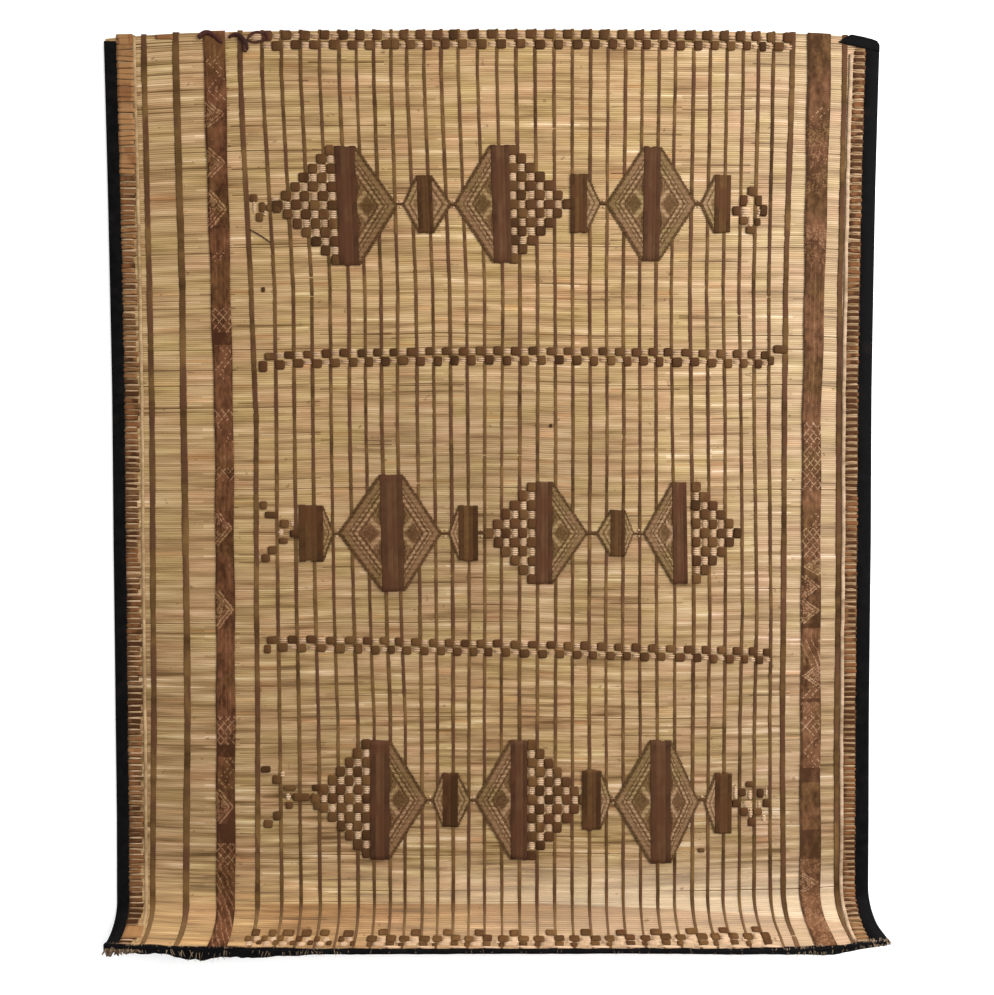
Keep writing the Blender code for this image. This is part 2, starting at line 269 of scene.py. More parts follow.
def meshOf(name, points, starts, corners, material, smooth=True):
    mesh = bpy.data.meshes.new(name)
    mesh.vertices.add(len(points))
    mesh.vertices.foreach_set("co", np.ascontiguousarray(points, np.float32).ravel())
    mesh.loops.add(len(corners))
    mesh.loops.foreach_set("vertex_index", np.ascontiguousarray(corners, np.int32))
    mesh.polygons.add(len(starts))
    mesh.polygons.foreach_set("loop_start", np.ascontiguousarray(starts, np.int32))
    mesh.update(calc_edges=True)
    mesh.polygons.foreach_set("use_smooth", np.full(len(starts), smooth))
    mesh.materials.append(material)
    piece = bpy.data.objects.new(name, mesh)
    scene.collection.objects.link(piece)
    return piece


class Master:
    # a shape modelled once, as arrays, ready to be laid many times on the mat

    def __init__(self, piece):
        mesh = piece.data
        self.points = np.array([vert.co for vert in mesh.vertices], float)
        self.corners = np.array([loop.vertex_index for loop in mesh.loops], int)
        self.starts = np.array([face.loop_start for face in mesh.polygons], int)
        bpy.data.objects.remove(piece, do_unlink=True)
        bpy.data.meshes.remove(mesh)

    def rings(self, axis, count):
        # which of its rings along an axis each corner is in
        return np.rint((self.points[:, axis] + 0.5) * (count - 1)).astype(int)


def addValues(piece, domain="POINT", **values):
    for key, value in values.items():
        layer = piece.data.attributes.new(key, "FLOAT", domain)
        layer.data.foreach_set("value", np.ascontiguousarray(value, np.float32).ravel())


def layCopies(name, master, points, material, smooth=True, uv=None, **values):
    # points holds the corners of every copy; uv and each value have a number for each of them
    copies, size = points.shape[:2]
    shift = np.arange(copies)[:, None]
    corners = (master.corners[None] + shift * size).ravel()
    starts = (master.starts[None] + shift * len(master.corners)).ravel()
    piece = meshOf(name, points.reshape(-1, 3), starts, corners, material, smooth)
    if uv is not None:
        layer = piece.data.uv_layers.new(name="weave")
        layer.data.foreach_set("uv", uv.reshape(-1, 2)[corners].astype(np.float32).ravel())
    for key, value in values.items():
        addValues(piece, **{key: np.broadcast_to(np.reshape(value, (copies, -1)), (copies, size))})
    return piece


def finishPiece(piece, slot, *replaced):
    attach(piece, "root")
    if replaced:
        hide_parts(*replaced)


def selectAlone(piece):
    bpy.ops.object.select_all(action="DESELECT")
    bpy.context.view_layer.objects.active = piece
    piece.select_set(True)


def editMesh(piece):
    selectAlone(piece)
    bpy.ops.object.mode_set(mode="EDIT")


def leaveMesh():
    bpy.ops.object.mode_set(mode="OBJECT")
    bpy.ops.object.select_all(action="DESELECT")


def thicken(piece, thickness):
    # a skin given its thickness, downwards from its face
    skin = piece.modifiers.new("thickness", "SOLIDIFY")
    skin.thickness = thickness
    skin.offset = -1.0
    selectAlone(piece)
    bpy.ops.object.modifier_apply(modifier="thickness")
    piece.select_set(False)


def editCube():
    # a cube of unit size standing on the floor, open for editing
    bpy.ops.mesh.primitive_cube_add(size=1.0, location=(0, 0, 0.5))
    piece = bpy.context.active_object
    bpy.ops.object.transform_apply(location=True, rotation=False, scale=False)
    editMesh(piece)
    return piece


def selectEdges(piece, wanted):
    # wanted is asked about the two ends of each edge
    bpy.ops.mesh.select_all(action="DESELECT")
    bpy.ops.mesh.select_mode(type="EDGE")
    for edge in bmesh.from_edit_mesh(piece.data).edges:
        edge.select = wanted(*(vert.co for vert in edge.verts))
    bmesh.update_edit_mesh(piece.data)


def reedMaster(sides, rings):
    # a rod of unit length along X, with its first corner on top and rings of corners along it
    bpy.ops.mesh.primitive_cylinder_add(vertices=sides, radius=1.0, depth=1.0, rotation=(0, math.pi / 2, 0))
    piece = bpy.context.active_object
    bpy.ops.object.transform_apply(location=False, rotation=True, scale=False)
    editMesh(piece)
    selectEdges(piece, lambda one, other: abs(one.x - other.x) > 0.5)
    bpy.ops.mesh.subdivide(number_cuts=rings - 2)
    bpy.ops.mesh.select_all(action="SELECT")
    bpy.ops.transform.rotate(value=math.pi / 2, orient_axis="X", center_override=(0, 0, 0))
    bpy.ops.mesh.normals_make_consistent(inside=False)
    leaveMesh()
    return Master(piece)


def slabMaster(rings, corner=0.12):
    # a strap of unit size: x across, y along, z from 0 to 1, with its upper long edges cut off
    piece = editCube()
    selectEdges(piece, lambda one, other: abs(one.y - other.y) > 0.5 and min(one.z, other.z) > 0.5)
    bpy.ops.mesh.bevel(offset=corner, segments=1, affect="EDGES")
    # one subdivide makes at most a hundred cuts, so a long strap is cut again between them
    again = 1 if rings <= 102 else 4
    for parts in ((rings - 1) // again, again):
        selectEdges(piece, lambda one, other: abs(one.y - other.y) > 1e-5)
        if parts > 1:
            bpy.ops.mesh.subdivide(number_cuts=parts - 1)
    leaveMesh()
    return Master(piece)


def padMaster(corner=0.20, border=0.14, shoulder=0.70, swell=0.12):
    # a small pillowed square of unit size with rounded corners
    piece = editCube()
    selectEdges(piece, lambda one, other: abs(one.z - other.z) > 0.5)
    bpy.ops.mesh.bevel(offset=corner, segments=2, affect="EDGES")
    bpy.ops.mesh.select_all(action="DESELECT")
    bpy.ops.mesh.select_mode(type="FACE")
    for face in bmesh.from_edit_mesh(piece.data).faces:
        face.select = face.normal.z > 0.9
    bmesh.update_edit_mesh(piece.data)
    bpy.ops.mesh.inset(thickness=border, depth=0.0)
    bpy.ops.transform.translate(value=(0, 0, swell))
    for vert in bmesh.from_edit_mesh(piece.data).verts:
        if 0.9 < vert.co.z < 1.05:
            vert.co.z = shoulder
    bmesh.update_edit_mesh(piece.data)
    leaveMesh()
    return Master(piece)


# Shader maths written as expressions

class Socket:
    # one output of a node; arithmetic on it adds Math nodes

    def __init__(self, finish, socket):
        self.finish = finish
        self.socket = socket

    def __add__(self, other):
        return self.finish.maths("ADD", self, other)

    def __radd__(self, other):
        return self.finish.maths("ADD", other, self)

    def __sub__(self, other):
        return self.finish.maths("SUBTRACT", self, other)

    def __rsub__(self, other):
        return self.finish.maths("SUBTRACT", other, self)

    def __mul__(self, other):
        return self.finish.maths("MULTIPLY", self, other)

    def __rmul__(self, other):
        return self.finish.maths("MULTIPLY", other, self)

    def __truediv__(self, other):
        return self.finish.maths("DIVIDE", self, other)

    def __rtruediv__(self, other):
        return self.finish.maths("DIVIDE", other, self)

    def __gt__(self, other):
        return self.finish.maths("GREATER_THAN", self, other)

    def __lt__(self, other):
        return self.finish.maths("LESS_THAN", self, other)


class Finish:
    # a material and the nodes of its shader

    def __init__(self, name, roughness=0.6, **settings):
        self.material = bpy.data.materials.new(name)
        self.material.use_nodes = True
        self.tree = self.material.node_tree
        self.shader = self.tree.nodes["Principled BSDF"]
        self.set("Roughness", roughness)
        for key, value in settings.items():
            self.set(key, value)

    def set(self, name, value):
        self.feed(self.shader.inputs[name.replace("_", " ")], value)

    def feed(self, socket, value):
        if isinstance(value, Socket):
            self.tree.links.new(value.socket, socket)
        elif value is not None:
            socket.default_value = value

    def node(self, kind, settings=None, sockets=None, out=0):
        made = self.tree.nodes.new("ShaderNode" + kind)
        for key, value in (settings or {}).items():
            if key == "stops":
                for _ in value[2:]:
                    made.color_ramp.elements.new(0.5)
                for element, (stop, colour) in zip(made.color_ramp.elements, value):
                    element.position = stop
                    element.color = (*colour, 1.0)
            else:
                setattr(made, key, value)
        for key, value in (sockets or {}).items():
            self.feed(made.inputs[key], value)
        return Socket(self, made.outputs[out])

    def maths(self, operation, *values):
        return self.node("Math", {"operation": operation}, dict(enumerate(values)))

    def mix(self, factor, first, second, blend="MIX"):
        colours = [(*value, 1.0) if isinstance(value, tuple) else value for value in (first, second)]
        settings = {"data_type": "RGBA", "blend_type": blend}
        return self.node("Mix", settings, {0: factor, 6: colours[0], 7: colours[1]}, 2)

    def ramp(self, factor, *stops):
        return self.node("ValToRGB", {"stops": stops}, {0: factor})

    def span(self, value, low, high, toLow=0.0, toHigh=1.0):
        return self.node("MapRange", {}, {0: value, 1: low, 2: high, 3: toLow, 4: toHigh})

    def vector(self, x, y, z=0.0):
        return self.node("CombineXYZ", {}, {0: x, 1: y, 2: z})

    def split(self, vector):
        return [self.node("SeparateXYZ", {}, {0: vector}, part) for part in range(3)]

    def noise(self, vector, scale, detail=2.0, rough=0.5):
        sockets = {"Vector": vector, "Scale": scale, "Detail": detail, "Roughness": rough}
        return self.node("TexNoise", {}, sockets)

    def pick(self, x, y=0.0):
        # an even random number for each whole x and y
        whole = self.vector(self.maths("FLOOR", x), self.maths("FLOOR", y))
        return self.node("TexWhiteNoise", {"noise_dimensions": "2D"}, {"Vector": whole})

    def attribute(self, name):
        return self.node("Attribute", {"attribute_name": name}, {}, 2)

    def place(self):
        # Object coordinates
        return self.node("TexCoord", {}, {}, 3)

    def weave(self):
        # how far across the mat, in panels, and which stalk
        return self.split(self.node("UVMap", {"uv_map": "weave"}))[:2]

    def bump(self, height, distance, strength=0.5):
        made = self.node("Bump", {}, {"Height": height, "Distance": distance, "Strength": strength})
        self.set("Normal", made)


# Finishes

# Straw from dark to pale: place on the scale, and colour
strawTones = (
    (0.00, (0.150, 0.080, 0.028)),
    (0.24, (0.300, 0.180, 0.075)),
    (0.50, (0.440, 0.283, 0.132)),
    (0.76, (0.560, 0.385, 0.200)),
    (1.00, (0.760, 0.580, 0.370)),
)
# pale straw, mixed in as painted light on the mat's right and on its curled end
paintedLightStraw = (0.860, 0.700, 0.500)
speckColour = (0.15, 0.075, 0.025)
# Colours that tint the straw in places; some of them paint light, on the mat's right and on the left of its
# curled end, and one paints shade where the end starts to turn up
strawTints = {
    "yellow": (0.95, 1.02, 0.76),
    "pink": (1.05, 0.93, 0.98),
    "orange": (1.12, 0.86, 0.66),
    "right": (1.01, 1.05, 1.20),
    "rightEdge": (0.96, 0.94, 0.92),
    "soiled": (0.66, 0.62, 0.60),
    "middle": (0.87, 0.87, 0.91),
    "paintedLightLowLeft": (1.24, 1.19, 1.02),
    "paintedFoldShade": (0.68, 0.56, 0.48),
}
# Colours of the other finishes. Leather: dark, light and the hue it fades to in patches. Woven
# leather: dark, brown and the pale stalks that show in it. Stalks and cords: dark and light.
finishColours = {
    "stripLeather": ((0.050, 0.022, 0.006), (0.168, 0.088, 0.029), (0.092, 0.037, 0.019)),
    "barLeather": ((0.034, 0.012, 0.005), (0.122, 0.056, 0.024), (0.078, 0.029, 0.013)),
    "squareLeather": ((0.042, 0.017, 0.005), (0.140, 0.067, 0.022), (0.080, 0.031, 0.011)),
    "rustLeather": ((0.060, 0.022, 0.007), (0.340, 0.170, 0.068), (0.200, 0.080, 0.028)),
    "knotLeather": ((0.020, 0.008, 0.006), (0.090, 0.034, 0.024), (0.060, 0.018, 0.016)),
    "wovenLeather": ((0.055, 0.024, 0.008), (0.140, 0.070, 0.029), (0.340, 0.205, 0.110)),
    "bandLeather": ((0.052, 0.019, 0.007), (0.170, 0.071, 0.031), (0.400, 0.235, 0.135)),
    "paleStalks": ((0.36, 0.215, 0.118), (0.62, 0.430, 0.275)),
    "paleCord": ((0.24, 0.150, 0.080), (0.57, 0.400, 0.265)),
    "grassCord": ((0.27, 0.165, 0.075), (0.52, 0.350, 0.185)),
    "edgeStalks": ((0.22, 0.125, 0.055), (0.56, 0.375, 0.225)),
    "fibres": ((0.060, 0.035, 0.018), (0.62, 0.45, 0.29)),
    # painted shade: the dark of the gaps between the stalks
    "shadedStalks": ((0.12, 0.065, 0.023), (0.22, 0.13, 0.052)),
    "blackLeather": ((0.0030, 0.0027, 0.0028), (0.0070, 0.0064, 0.0064), (0.013, 0.010, 0.009)),
}
# paler brown, painted light on leather over the curled end
paintedCurlLightColour = (0.30, 0.175, 0.085)
# Colours that tint the woven leather: in patches, and towards the mat's left and right, where they are
# painted shade at its left and painted light at its right
wovenTints = ((0.86, 0.93, 0.78), (0.97, 0.92, 0.90), (1.06, 1.14, 1.20))


def strawFinish():
    # each stalk has its own tone, and changes it where a strip crosses
    finish = Finish("straw", 0.6, Specular_IOR_Level=0.2)
    along, number = finish.weave()
    where = finish.place()
    side, up, _ = finish.split(where)
    across = number - finish.maths("FLOOR", number)
    panel = finish.maths("FLOOR", along)

    def tinted(colour, mask, name):
        return finish.mix(mask, colour, strawTints[name], "MULTIPLY")

    # bundles of stalks alike, changes from panel to panel, broad areas, and streaks on each stalk
    bundle = finish.noise(finish.vector(side * 5.0 + panel * 0.05, number * 0.36), 1.0, 2.0, 0.55)
    local = finish.noise(finish.vector(panel * 0.41 + along * 0.25, number * 0.42), 1.0, 2.0, 0.6)
    spread = finish.noise(finish.vector(side * 3.0 + panel * 0.08, number * 0.14), 1.0, 2.0)
    streak = finish.noise(finish.vector(along * 1.1, number * 3.0), 1.0, 3.0)
    lively = 1.0 + finish.span(up, 0.0, -0.6, 0.0, 0.45)
    tone = 0.5 + ((bundle - 0.5) * 1.35 + (local - 0.5) * 0.50 + (spread - 0.5) * 0.65) * lively
    tone = tone + (streak - 0.5) * 0.12
    tone = tone + (finish.pick(number) - 0.5) * 0.05 + (finish.pick(along, number) - 0.5) * 0.06
    paleStalk = (finish.pick(along / 2.6, number) > 0.955) * 0.19
    darkStalk = (finish.pick(along / 4.2, number + 3.0) > 0.955) * (across < 0.55) * 0.34
    colour = finish.ramp(tone + paleStalk - darkStalk, *strawTones)
    hue = finish.noise(finish.vector(panel * 0.63, number * 0.07), 1.0, 2.0)
    colour = tinted(colour, finish.span(hue, 0.50, 0.66, 0.0, 0.50), "yellow")
    colour = tinted(colour, finish.span(hue, 0.48, 0.34, 0.0, 0.65), "pink")
    warm = finish.noise(finish.vector(panel * 0.7 + 9.0, number * 0.21), 1.0, 2.0)
    colour = tinted(colour, finish.span(warm, 0.62, 0.72, 0.0, 0.5), "orange")
    # painted light: the mat is painted paler and cooler at its right, where the lamp is; and it is soiled
    # towards both sides of its lower half
    worn = finish.span(up, 0.20, -0.55)
    outward = finish.maths("ABSOLUTE", side)
    colour = tinted(colour, finish.span(side, 0.20, 0.60), "right")
    colour = tinted(colour, finish.span(side, 0.62, 0.68), "rightEdge")
    paler = finish.span(side, 0.42, 0.75, 0.0, 0.13) * (1.0 - worn * 0.8)
    colour = finish.mix(paler, colour, paintedLightStraw)
    soiled = worn * finish.span(outward, 0.35, 0.68, 0.58, 0.70) * finish.span(side, 0.50, 0.75, 1.0, 0.62)
    colour = tinted(colour, soiled, "soiled")
    middle = finish.span(outward, 0.34, 0.20) * finish.span(finish.maths("ABSOLUTE", up + 0.02), 0.38, 0.14)
    colour = tinted(colour, middle, "middle")
    # painted light: the curled end is painted paler, and brighter and warmer at its left; painted shade: a
    # darker band where it starts to turn up
    low = finish.span(up, -0.74, -0.83)
    right = finish.span(side, -0.40, 0.20)
    colour = finish.mix(low * (0.10 + right * 0.34), colour, paintedLightStraw)
    colour = tinted(colour, low * (1.0 - right), "paintedLightLowLeft")
    crease = up + finish.maths("MAXIMUM", side - 0.1, 0.0) * 0.033
    paintedFoldShade = finish.span(crease, -0.835, -0.837) * finish.span(crease, -0.905, -0.848, 0.50, 1.0)
    paintedFoldShade = paintedFoldShade * finish.span(side, -0.60, -0.40, 0.15, 1.0) * finish.span(side, 0.10, 0.60, 1.0, 0.62)
    colour = tinted(colour, paintedFoldShade, "paintedFoldShade")
    speck = finish.span(finish.noise(where, 75.0, 1.0), 0.73, 0.79, 0.0, 0.55)
    finish.set("Base Color", finish.mix(speck, colour, speckColour))
    finish.set("Roughness", finish.span(streak, 0.3, 0.7, 0.50, 0.70))
    finish.bump(streak, 0.0003)
    return finish.material


def leatherFinish(name, paintedCurlLight=0.0):
    # worn leather; the last argument is how far it is painted paler over the curled end, as painted light
    dark, light, faded = finishColours[name]
    finish = Finish(name, 0.8, Specular_IOR_Level=0.10)
    where = finish.place()
    x, y, z = finish.split(where)
    patch = finish.noise(where, 16.0, 3.0)
    grain = finish.noise(where, 420.0, 2.0)
    shade = finish.attribute("tone") * 0.60 + patch * 0.35 + grain * 0.16
    colour = finish.mix(finish.span(shade, 0.20, 0.85), dark, light)
    stretch = finish.noise(finish.vector(x * 30.0, y * 13.0, z * 13.0), 1.0, 2.0)
    colour = finish.mix(finish.span(stretch, 0.48, 0.58, 0.0, 0.75), colour, faded)
    # painted light: paler over the curled end
    if paintedCurlLight:
        colour = finish.mix(finish.span(y, -0.83, -0.87, 0.0, paintedCurlLight), colour, paintedCurlLightColour)
    finish.set("Base Color", colour)
    finish.set("Roughness", finish.span(grain, 0.3, 0.7, 0.66, 0.88))
    finish.bump(grain, 0.0003)
    return finish.material


def wovenFinish(name):
    # close leather weaving: the attribute light is 1 where the pale stalks show through it
    dark, brown, light = finishColours[name]
    inPatches, shadedLeftTint, litRightTint = wovenTints
    finish = Finish(name, 0.8, Specular_IOR_Level=0.10)
    where = finish.place()
    patch = finish.noise(where, 20.0, 3.0)
    grain = finish.noise(where, 520.0, 2.0)
    shade = finish.attribute("light") + patch * 0.24 + grain * 0.14 - 0.19
    colour = finish.ramp(shade, (0.0, dark), (0.35, brown), (1.0, light))
    hue = finish.noise(where, 11.0, 2.0)
    colour = finish.mix(finish.span(hue, 0.46, 0.58), colour, inPatches, "MULTIPLY")
    # painted light: darker at the mat's left, paler and cooler at its right
    side = finish.span(finish.split(where)[0], -0.40, 0.60)
    colour = finish.mix(1.0, colour, finish.mix(side, shadedLeftTint, litRightTint), "MULTIPLY")
    finish.set("Base Color", colour)
    finish.bump(grain + finish.attribute("light"), 0.0005)
    return finish.material


def bindingFinish():
    # creased black leather, worn to brown in spots
    dark, light, spots = finishColours["blackLeather"]
    finish = Finish("blackLeather", 0.7, Specular_IOR_Level=0.03)
    where = finish.place()
    crease = finish.noise(where, 60.0, 4.0, 0.6)
    grain = finish.noise(where, 600.0, 2.0)
    worn = finish.span(finish.noise(where, 22.0, 3.0), 0.60, 0.75, 0.0, 0.5)
    colour = finish.mix(finish.span(crease, 0.35, 0.75), dark, light)
    finish.set("Base Color", finish.mix(worn, colour, spots))
    finish.set("Roughness", finish.span(crease, 0.3, 0.7, 0.56, 0.78))
    finish.bump(crease * 0.7 + grain * 0.3, 0.0010)
    return finish.material


def paleFinish(name):
    # pale grass, streaked along X
    dark, light = finishColours[name]
    finish = Finish(name, 0.7, Specular_IOR_Level=0.15)
    x, y, z = finish.split(finish.place())
    streak = finish.noise(finish.vector(x * 40.0, y * 420.0, z * 420.0), 1.0, 3.0)
    shade = finish.attribute("tone") * 0.6 + streak * 0.5
    finish.set("Base Color", finish.mix(finish.span(shade, 0.15, 0.95), dark, light))
    finish.bump(streak, 0.0004, 0.6)
    return finish.material


straw = strawFinish()
stripLeather = leatherFinish("stripLeather", paintedCurlLight=0.25)
barLeather = leatherFinish("barLeather")
squareLeather = leatherFinish("squareLeather")
rustLeather = leatherFinish("rustLeather")
knotLeather = leatherFinish("knotLeather")
wovenLeather = wovenFinish("wovenLeather")
bandLeather = wovenFinish("bandLeather")
blackLeather = bindingFinish()
paleStalks = paleFinish("paleStalks")
paleCord = paleFinish("paleCord")
grassCord = paleFinish("grassCord")
edgeStalks = paleFinish("edgeStalks")
fibres = paleFinish("fibres")
shadedStalks = paleFinish("shadedStalks")
print("finishes made")


# Stalks

stalks = {
    "count": 463,
    "core": 0.0042,          # height of the stalks' widest part over the mat's underside
    "rise": 0.0005,          # from there to their tops
    "fall": 0.0036,          # and to their undersides
    "sides": 5,
    "widest": 1.5,           # a thick stalk against a thin one
    "gapShare": 0.04,        # stalks with a gap beside them
    "gap": 0.45,             # against a stalk's width
    "lap": 1.20,             # how far neighbours run into each other
    "wave": 0.05,            # how unevenly they lie, against a stalk's width
    "swell": 0.00028,        # how far a stalk stands up between two strips
    "pressed": 0.00012,      # how far a strip presses it down
    "uneven": (-0.00022, 0.00016),       # how far single stalks lie low or high
}
# The sheet in the middle of the layer of stalks, dark as painted shade in the gaps between them
coreSheet = {
    "top": 0.0036,
    "thick": 0.0011,
    "rows": (24, 76),        # over the curl, and above it
    "shares": (0.001, 0.10, 0.999),      # of the mat's length, where those rows begin and end
}


def easedNoise(rows, knots, columns):
    # random numbers from -1 to 1 that change slowly along each row
    values = chance.uniform(-1.0, 1.0, (rows, knots))
    stops = np.linspace(0.0, 1.0, knots)
    at = np.linspace(0.0, 1.0, columns)
    return np.stack([np.interp(at, stops, row) for row in values])


def easedLine(knots, columns):
    return easedNoise(1, knots, columns)[0]


def layStalks():
    # each stalk has a ring of corners at every line of the weave and half way between two lines
    columns = np.arange(0.0, lineCount - 0.5, 0.5)
    count = stalks["count"]
    width = chance.uniform(1.0, stalks["widest"], count)
    gap = (chance.uniform(0.0, 1.0, count) < stalks["gapShare"]) * stalks["gap"]
    steps = width[:, None] * (1.0 + stalks["wave"] * easedNoise(count, 14, len(columns)))
    spaces = gap[:, None] * np.clip(0.5 + easedNoise(count, 9, len(columns)), 0.0, 1.2)
    ends = np.cumsum(steps + spaces, axis=0)
    share = (ends - spaces - steps / 2.0) / ends[-1:]
    half = steps / 2.0 / ends[-1:]
    rings = len(columns)
    master = reedMaster(stalks["sides"], rings)
    ring = master.rings(0, rings)
    side = master.points[:, 1]
    up = master.points[:, 2]
    runAt = -mat["lowerRun"] + share[:, ring] * matLength
    x = lineX(np.broadcast_to(columns[ring], runAt.shape), runAt)
    length = topEnd(x) - lowerEnd(x)
    run = lowerEnd(x) + length * share[:, ring] + side * half[:, ring] * length * stalks["lap"]
    panelPart = columns[ring] - np.floor(columns[ring])
    bulge = stalks["swell"] * np.sin(math.pi * panelPart) - stalks["pressed"]
    level = chance.uniform(*stalks["uneven"], (count, 1)) + bulge
    height = stalks["core"] + np.where(up > 0.0, stalks["rise"], stalks["fall"]) * up + level
    points = place(x, run, height)
    # the weave map numbers the stalks, and keeps their edges just clear of the next number
    number = np.arange(count)[:, None] + 0.5 + 0.46 * side[None]
    uv = np.stack([np.broadcast_to(columns[ring], number.shape), number], axis=-1)
    thirds = np.array_split(np.arange(count), 3)
    for name, part in zip(("stalksLow", "stalksMiddle", "stalksTop"), thirds):
        finishPiece(layCopies(name, master, points[part], straw, False, uv[part]), "straw")


def layCore():
    # the shaded middle of the layer of stalks, a thin sheet that all the rest is laid on; its dark colour is
    # painted shade that shows in the gaps between the stalks
    (curled, laid), (first, turn, last) = coreSheet["rows"], coreSheet["shares"]
    share = np.concatenate([np.linspace(first, turn, curled, endpoint=False), np.linspace(turn, last, laid)])
    share = share[:, None]
    rows = len(share)
    columns = np.arange(0, lineCount)[None].astype(float)
    runAt = -mat["lowerRun"] + share * matLength + 0.0 * columns
    x = lineX(columns + 0.0 * share, runAt)
    run = lowerEnd(x) + (topEnd(x) - lowerEnd(x)) * share
    points = place(x, run, coreSheet["top"]).reshape(-1, 3)
    low = (np.arange(rows - 1)[:, None] * lineCount + np.arange(lineCount - 1)[None]).ravel()
    corners = np.stack([low, low + 1, low + lineCount + 1, low + lineCount], axis=1).ravel()
    piece = meshOf("stalkCore", points, np.arange(len(low)) * 4, corners, shadedStalks)
    thicken(piece, coreSheet["thick"])
    finishPiece(piece, "straw", "stalk_field")
    return piece


# Leather strips: over the stalks, round the top end and back along the underside

strips = {
    "thongWidth": 0.0062,
    "wide": {1: 0.0105, 2: 0.0125, 3: 0.0096, 34: 0.0104, 35: 0.0098},   # by the strip's number
    "face": 0.0043,          # height of the leather's inner side on the face
    "back": 0.0010,          # and on the underside
    "thick": 0.0014,
    "thickBack": 0.0009,
    "rings": (300, 8, 97),   # on the face, round the end, on the back: 405 in all
    "short": 0.002,          # how far short of the lower end they stop
    "wobble": 0.0004,
    "uneven": (0.10, 0.06),  # in width, slowly along a strip and from ring to ring
    "tucked": 0.015,         # share of places where a strip dips under a stalk
    "dip": 0.0010,           # and how deep it goes there
    "narrowed": 0.18,        # how much narrower the strips are drawn over the curl, between these runs
    "narrowedSpan": (0.83, 0.87),        # below the middle
}


def layStrips(name, numbers, widths, replaced):
    onFace, onEnd, onBack = strips["rings"]
    rings = onFace + onEnd + onBack
    master = slabMaster(rings)
    ring = master.rings(1, rings)
    across, up = master.points[:, 0], master.points[:, 2]
    roundEnd = np.linspace(0.0, math.pi, onEnd + 2)[1:-1]
    turn = np.concatenate([np.zeros(onFace), roundEnd, np.full(onBack, math.pi)])
    thick = np.interp(turn, (0.0, math.pi), (strips["thick"], strips["thickBack"]))
    radius = (strips["face"] - strips["back"]) / 2.0
    centre = (strips["face"] + strips["back"]) / 2.0
    onTop = turn == 0.0
    copies, tones = [], []
    for number, width in zip(numbers, widths):
        low = lowerEnd(stripX(number, -mat["lowerRun"])) + strips["short"]
        high = topEnd(stripX(number, mat["topEnd"]))
        face, back = np.linspace(low, high, onFace), np.linspace(high, low, onBack)
        run = np.concatenate([face, np.full(onEnd, high), back])
        slow, fast = strips["uneven"]
        breadth = width * (1.0 + slow * easedLine(70, rings) + fast * chance.uniform(-1, 1, rings))
        breadth = breadth * (1.0 - strips["narrowed"] * smoothStep(*strips["narrowedSpan"], -run))
        tucked = chance.uniform(0, 1, rings) < strips["tucked"]
        lift = 0.00018 * np.sin(np.arange(rings) * 2.1) + 0.00016 * chance.uniform(-1, 1, rings)
        lift = lift - strips["dip"] * tucked
        reach = radius + thick[ring] * up + (lift * onTop)[ring]
        x = stripX(number, run) + strips["wobble"] * easedLine(80, rings)
        x = x[ring] + across * breadth[ring]
        copies.append(place(x, run[ring] + reach * np.sin(turn[ring]), centre + reach * np.cos(turn[ring])))
        tone = 0.5 + 0.40 * easedLine(40, rings) + 0.25 * easedLine(130, rings)
        # darker towards the mat's right, and along a strip's edges
        tone = tone + 0.15 * chance.uniform(-1, 1, rings) - 0.20 * float(smoothStep(24, 35, number))
        tones.append(tone[ring] + np.where(np.abs(across) > 0.45, -0.18, 0.06))
    piece = layCopies(name, master, np.stack(copies), stripLeather, tone=np.stack(tones))
    finishPiece(piece, "brown_leather", *replaced)


def layAllStrips():
    def nodes(numbers):
        return [f"leather_strip_{number:02d}" for number in numbers]

    thongs = list(range(4, 34))
    widths = strips["thongWidth"] * chance.uniform(0.90, 1.12, len(thongs))
    for name, part in (("thongsLeft", slice(0, 15)), ("thongsRight", slice(15, 30))):
        layStrips(name, thongs[part], widths[part], nodes(thongs[part]))
    wide = strips["wide"]
    layStrips("wideStrips", list(wide), list(wide.values()), nodes(wide))


# Small pieces laid on the face

def layPads(name, master, rows, material, slot, *replaced, drape=0.0):
    # a row for each: x, run, width, length, turn, base, thickness, tone. What reaches past the top
    # end hangs down by drape times that length.
    x, run, width, length, turn, base, thick, tone = np.array(rows, float).T[:, :, None]
    across = master.points[:, 0][None] * width
    along = master.points[:, 1][None] * length
    px = x + across * np.cos(turn) - along * np.sin(turn)
    pr = run + across * np.sin(turn) + along * np.cos(turn)
    height = base + master.points[:, 2][None] * thick
    over = np.maximum(pr - topEnd(px), 0.0)
    points = place(px, pr - over * drape * 0.5, height - over * drape)
    # darker along its two sides, and mottled all over
    edge = np.where(np.abs(master.points[:, 0]) > 0.47, -0.14, 0.05)[None]
    mottled = tone + edge + chance.uniform(-0.12, 0.12, px.shape)
    finishPiece(layCopies(name, master, points, material, tone=mottled), slot, *replaced)


def layReeds(name, master, rows, material, slot):
    # short stalks lying across the mat, thinner at their ends, a row for each: x, run, length,
    # radius, height, tone
    x, run, length, radius, height, tone = np.array(rows, float).T[:, :, None]
    taper = np.where(np.abs(master.points[:, 0]) > 0.45, 0.55, 1.0)[None]
    px = x + master.points[:, 0][None] * length
    pr = run + master.points[:, 1][None] * radius * taper
    points = place(px, pr, height + master.points[:, 2][None] * radius * taper)
    finishPiece(layCopies(name, master, points, material, tone=tone + 0.0 * px), slot)


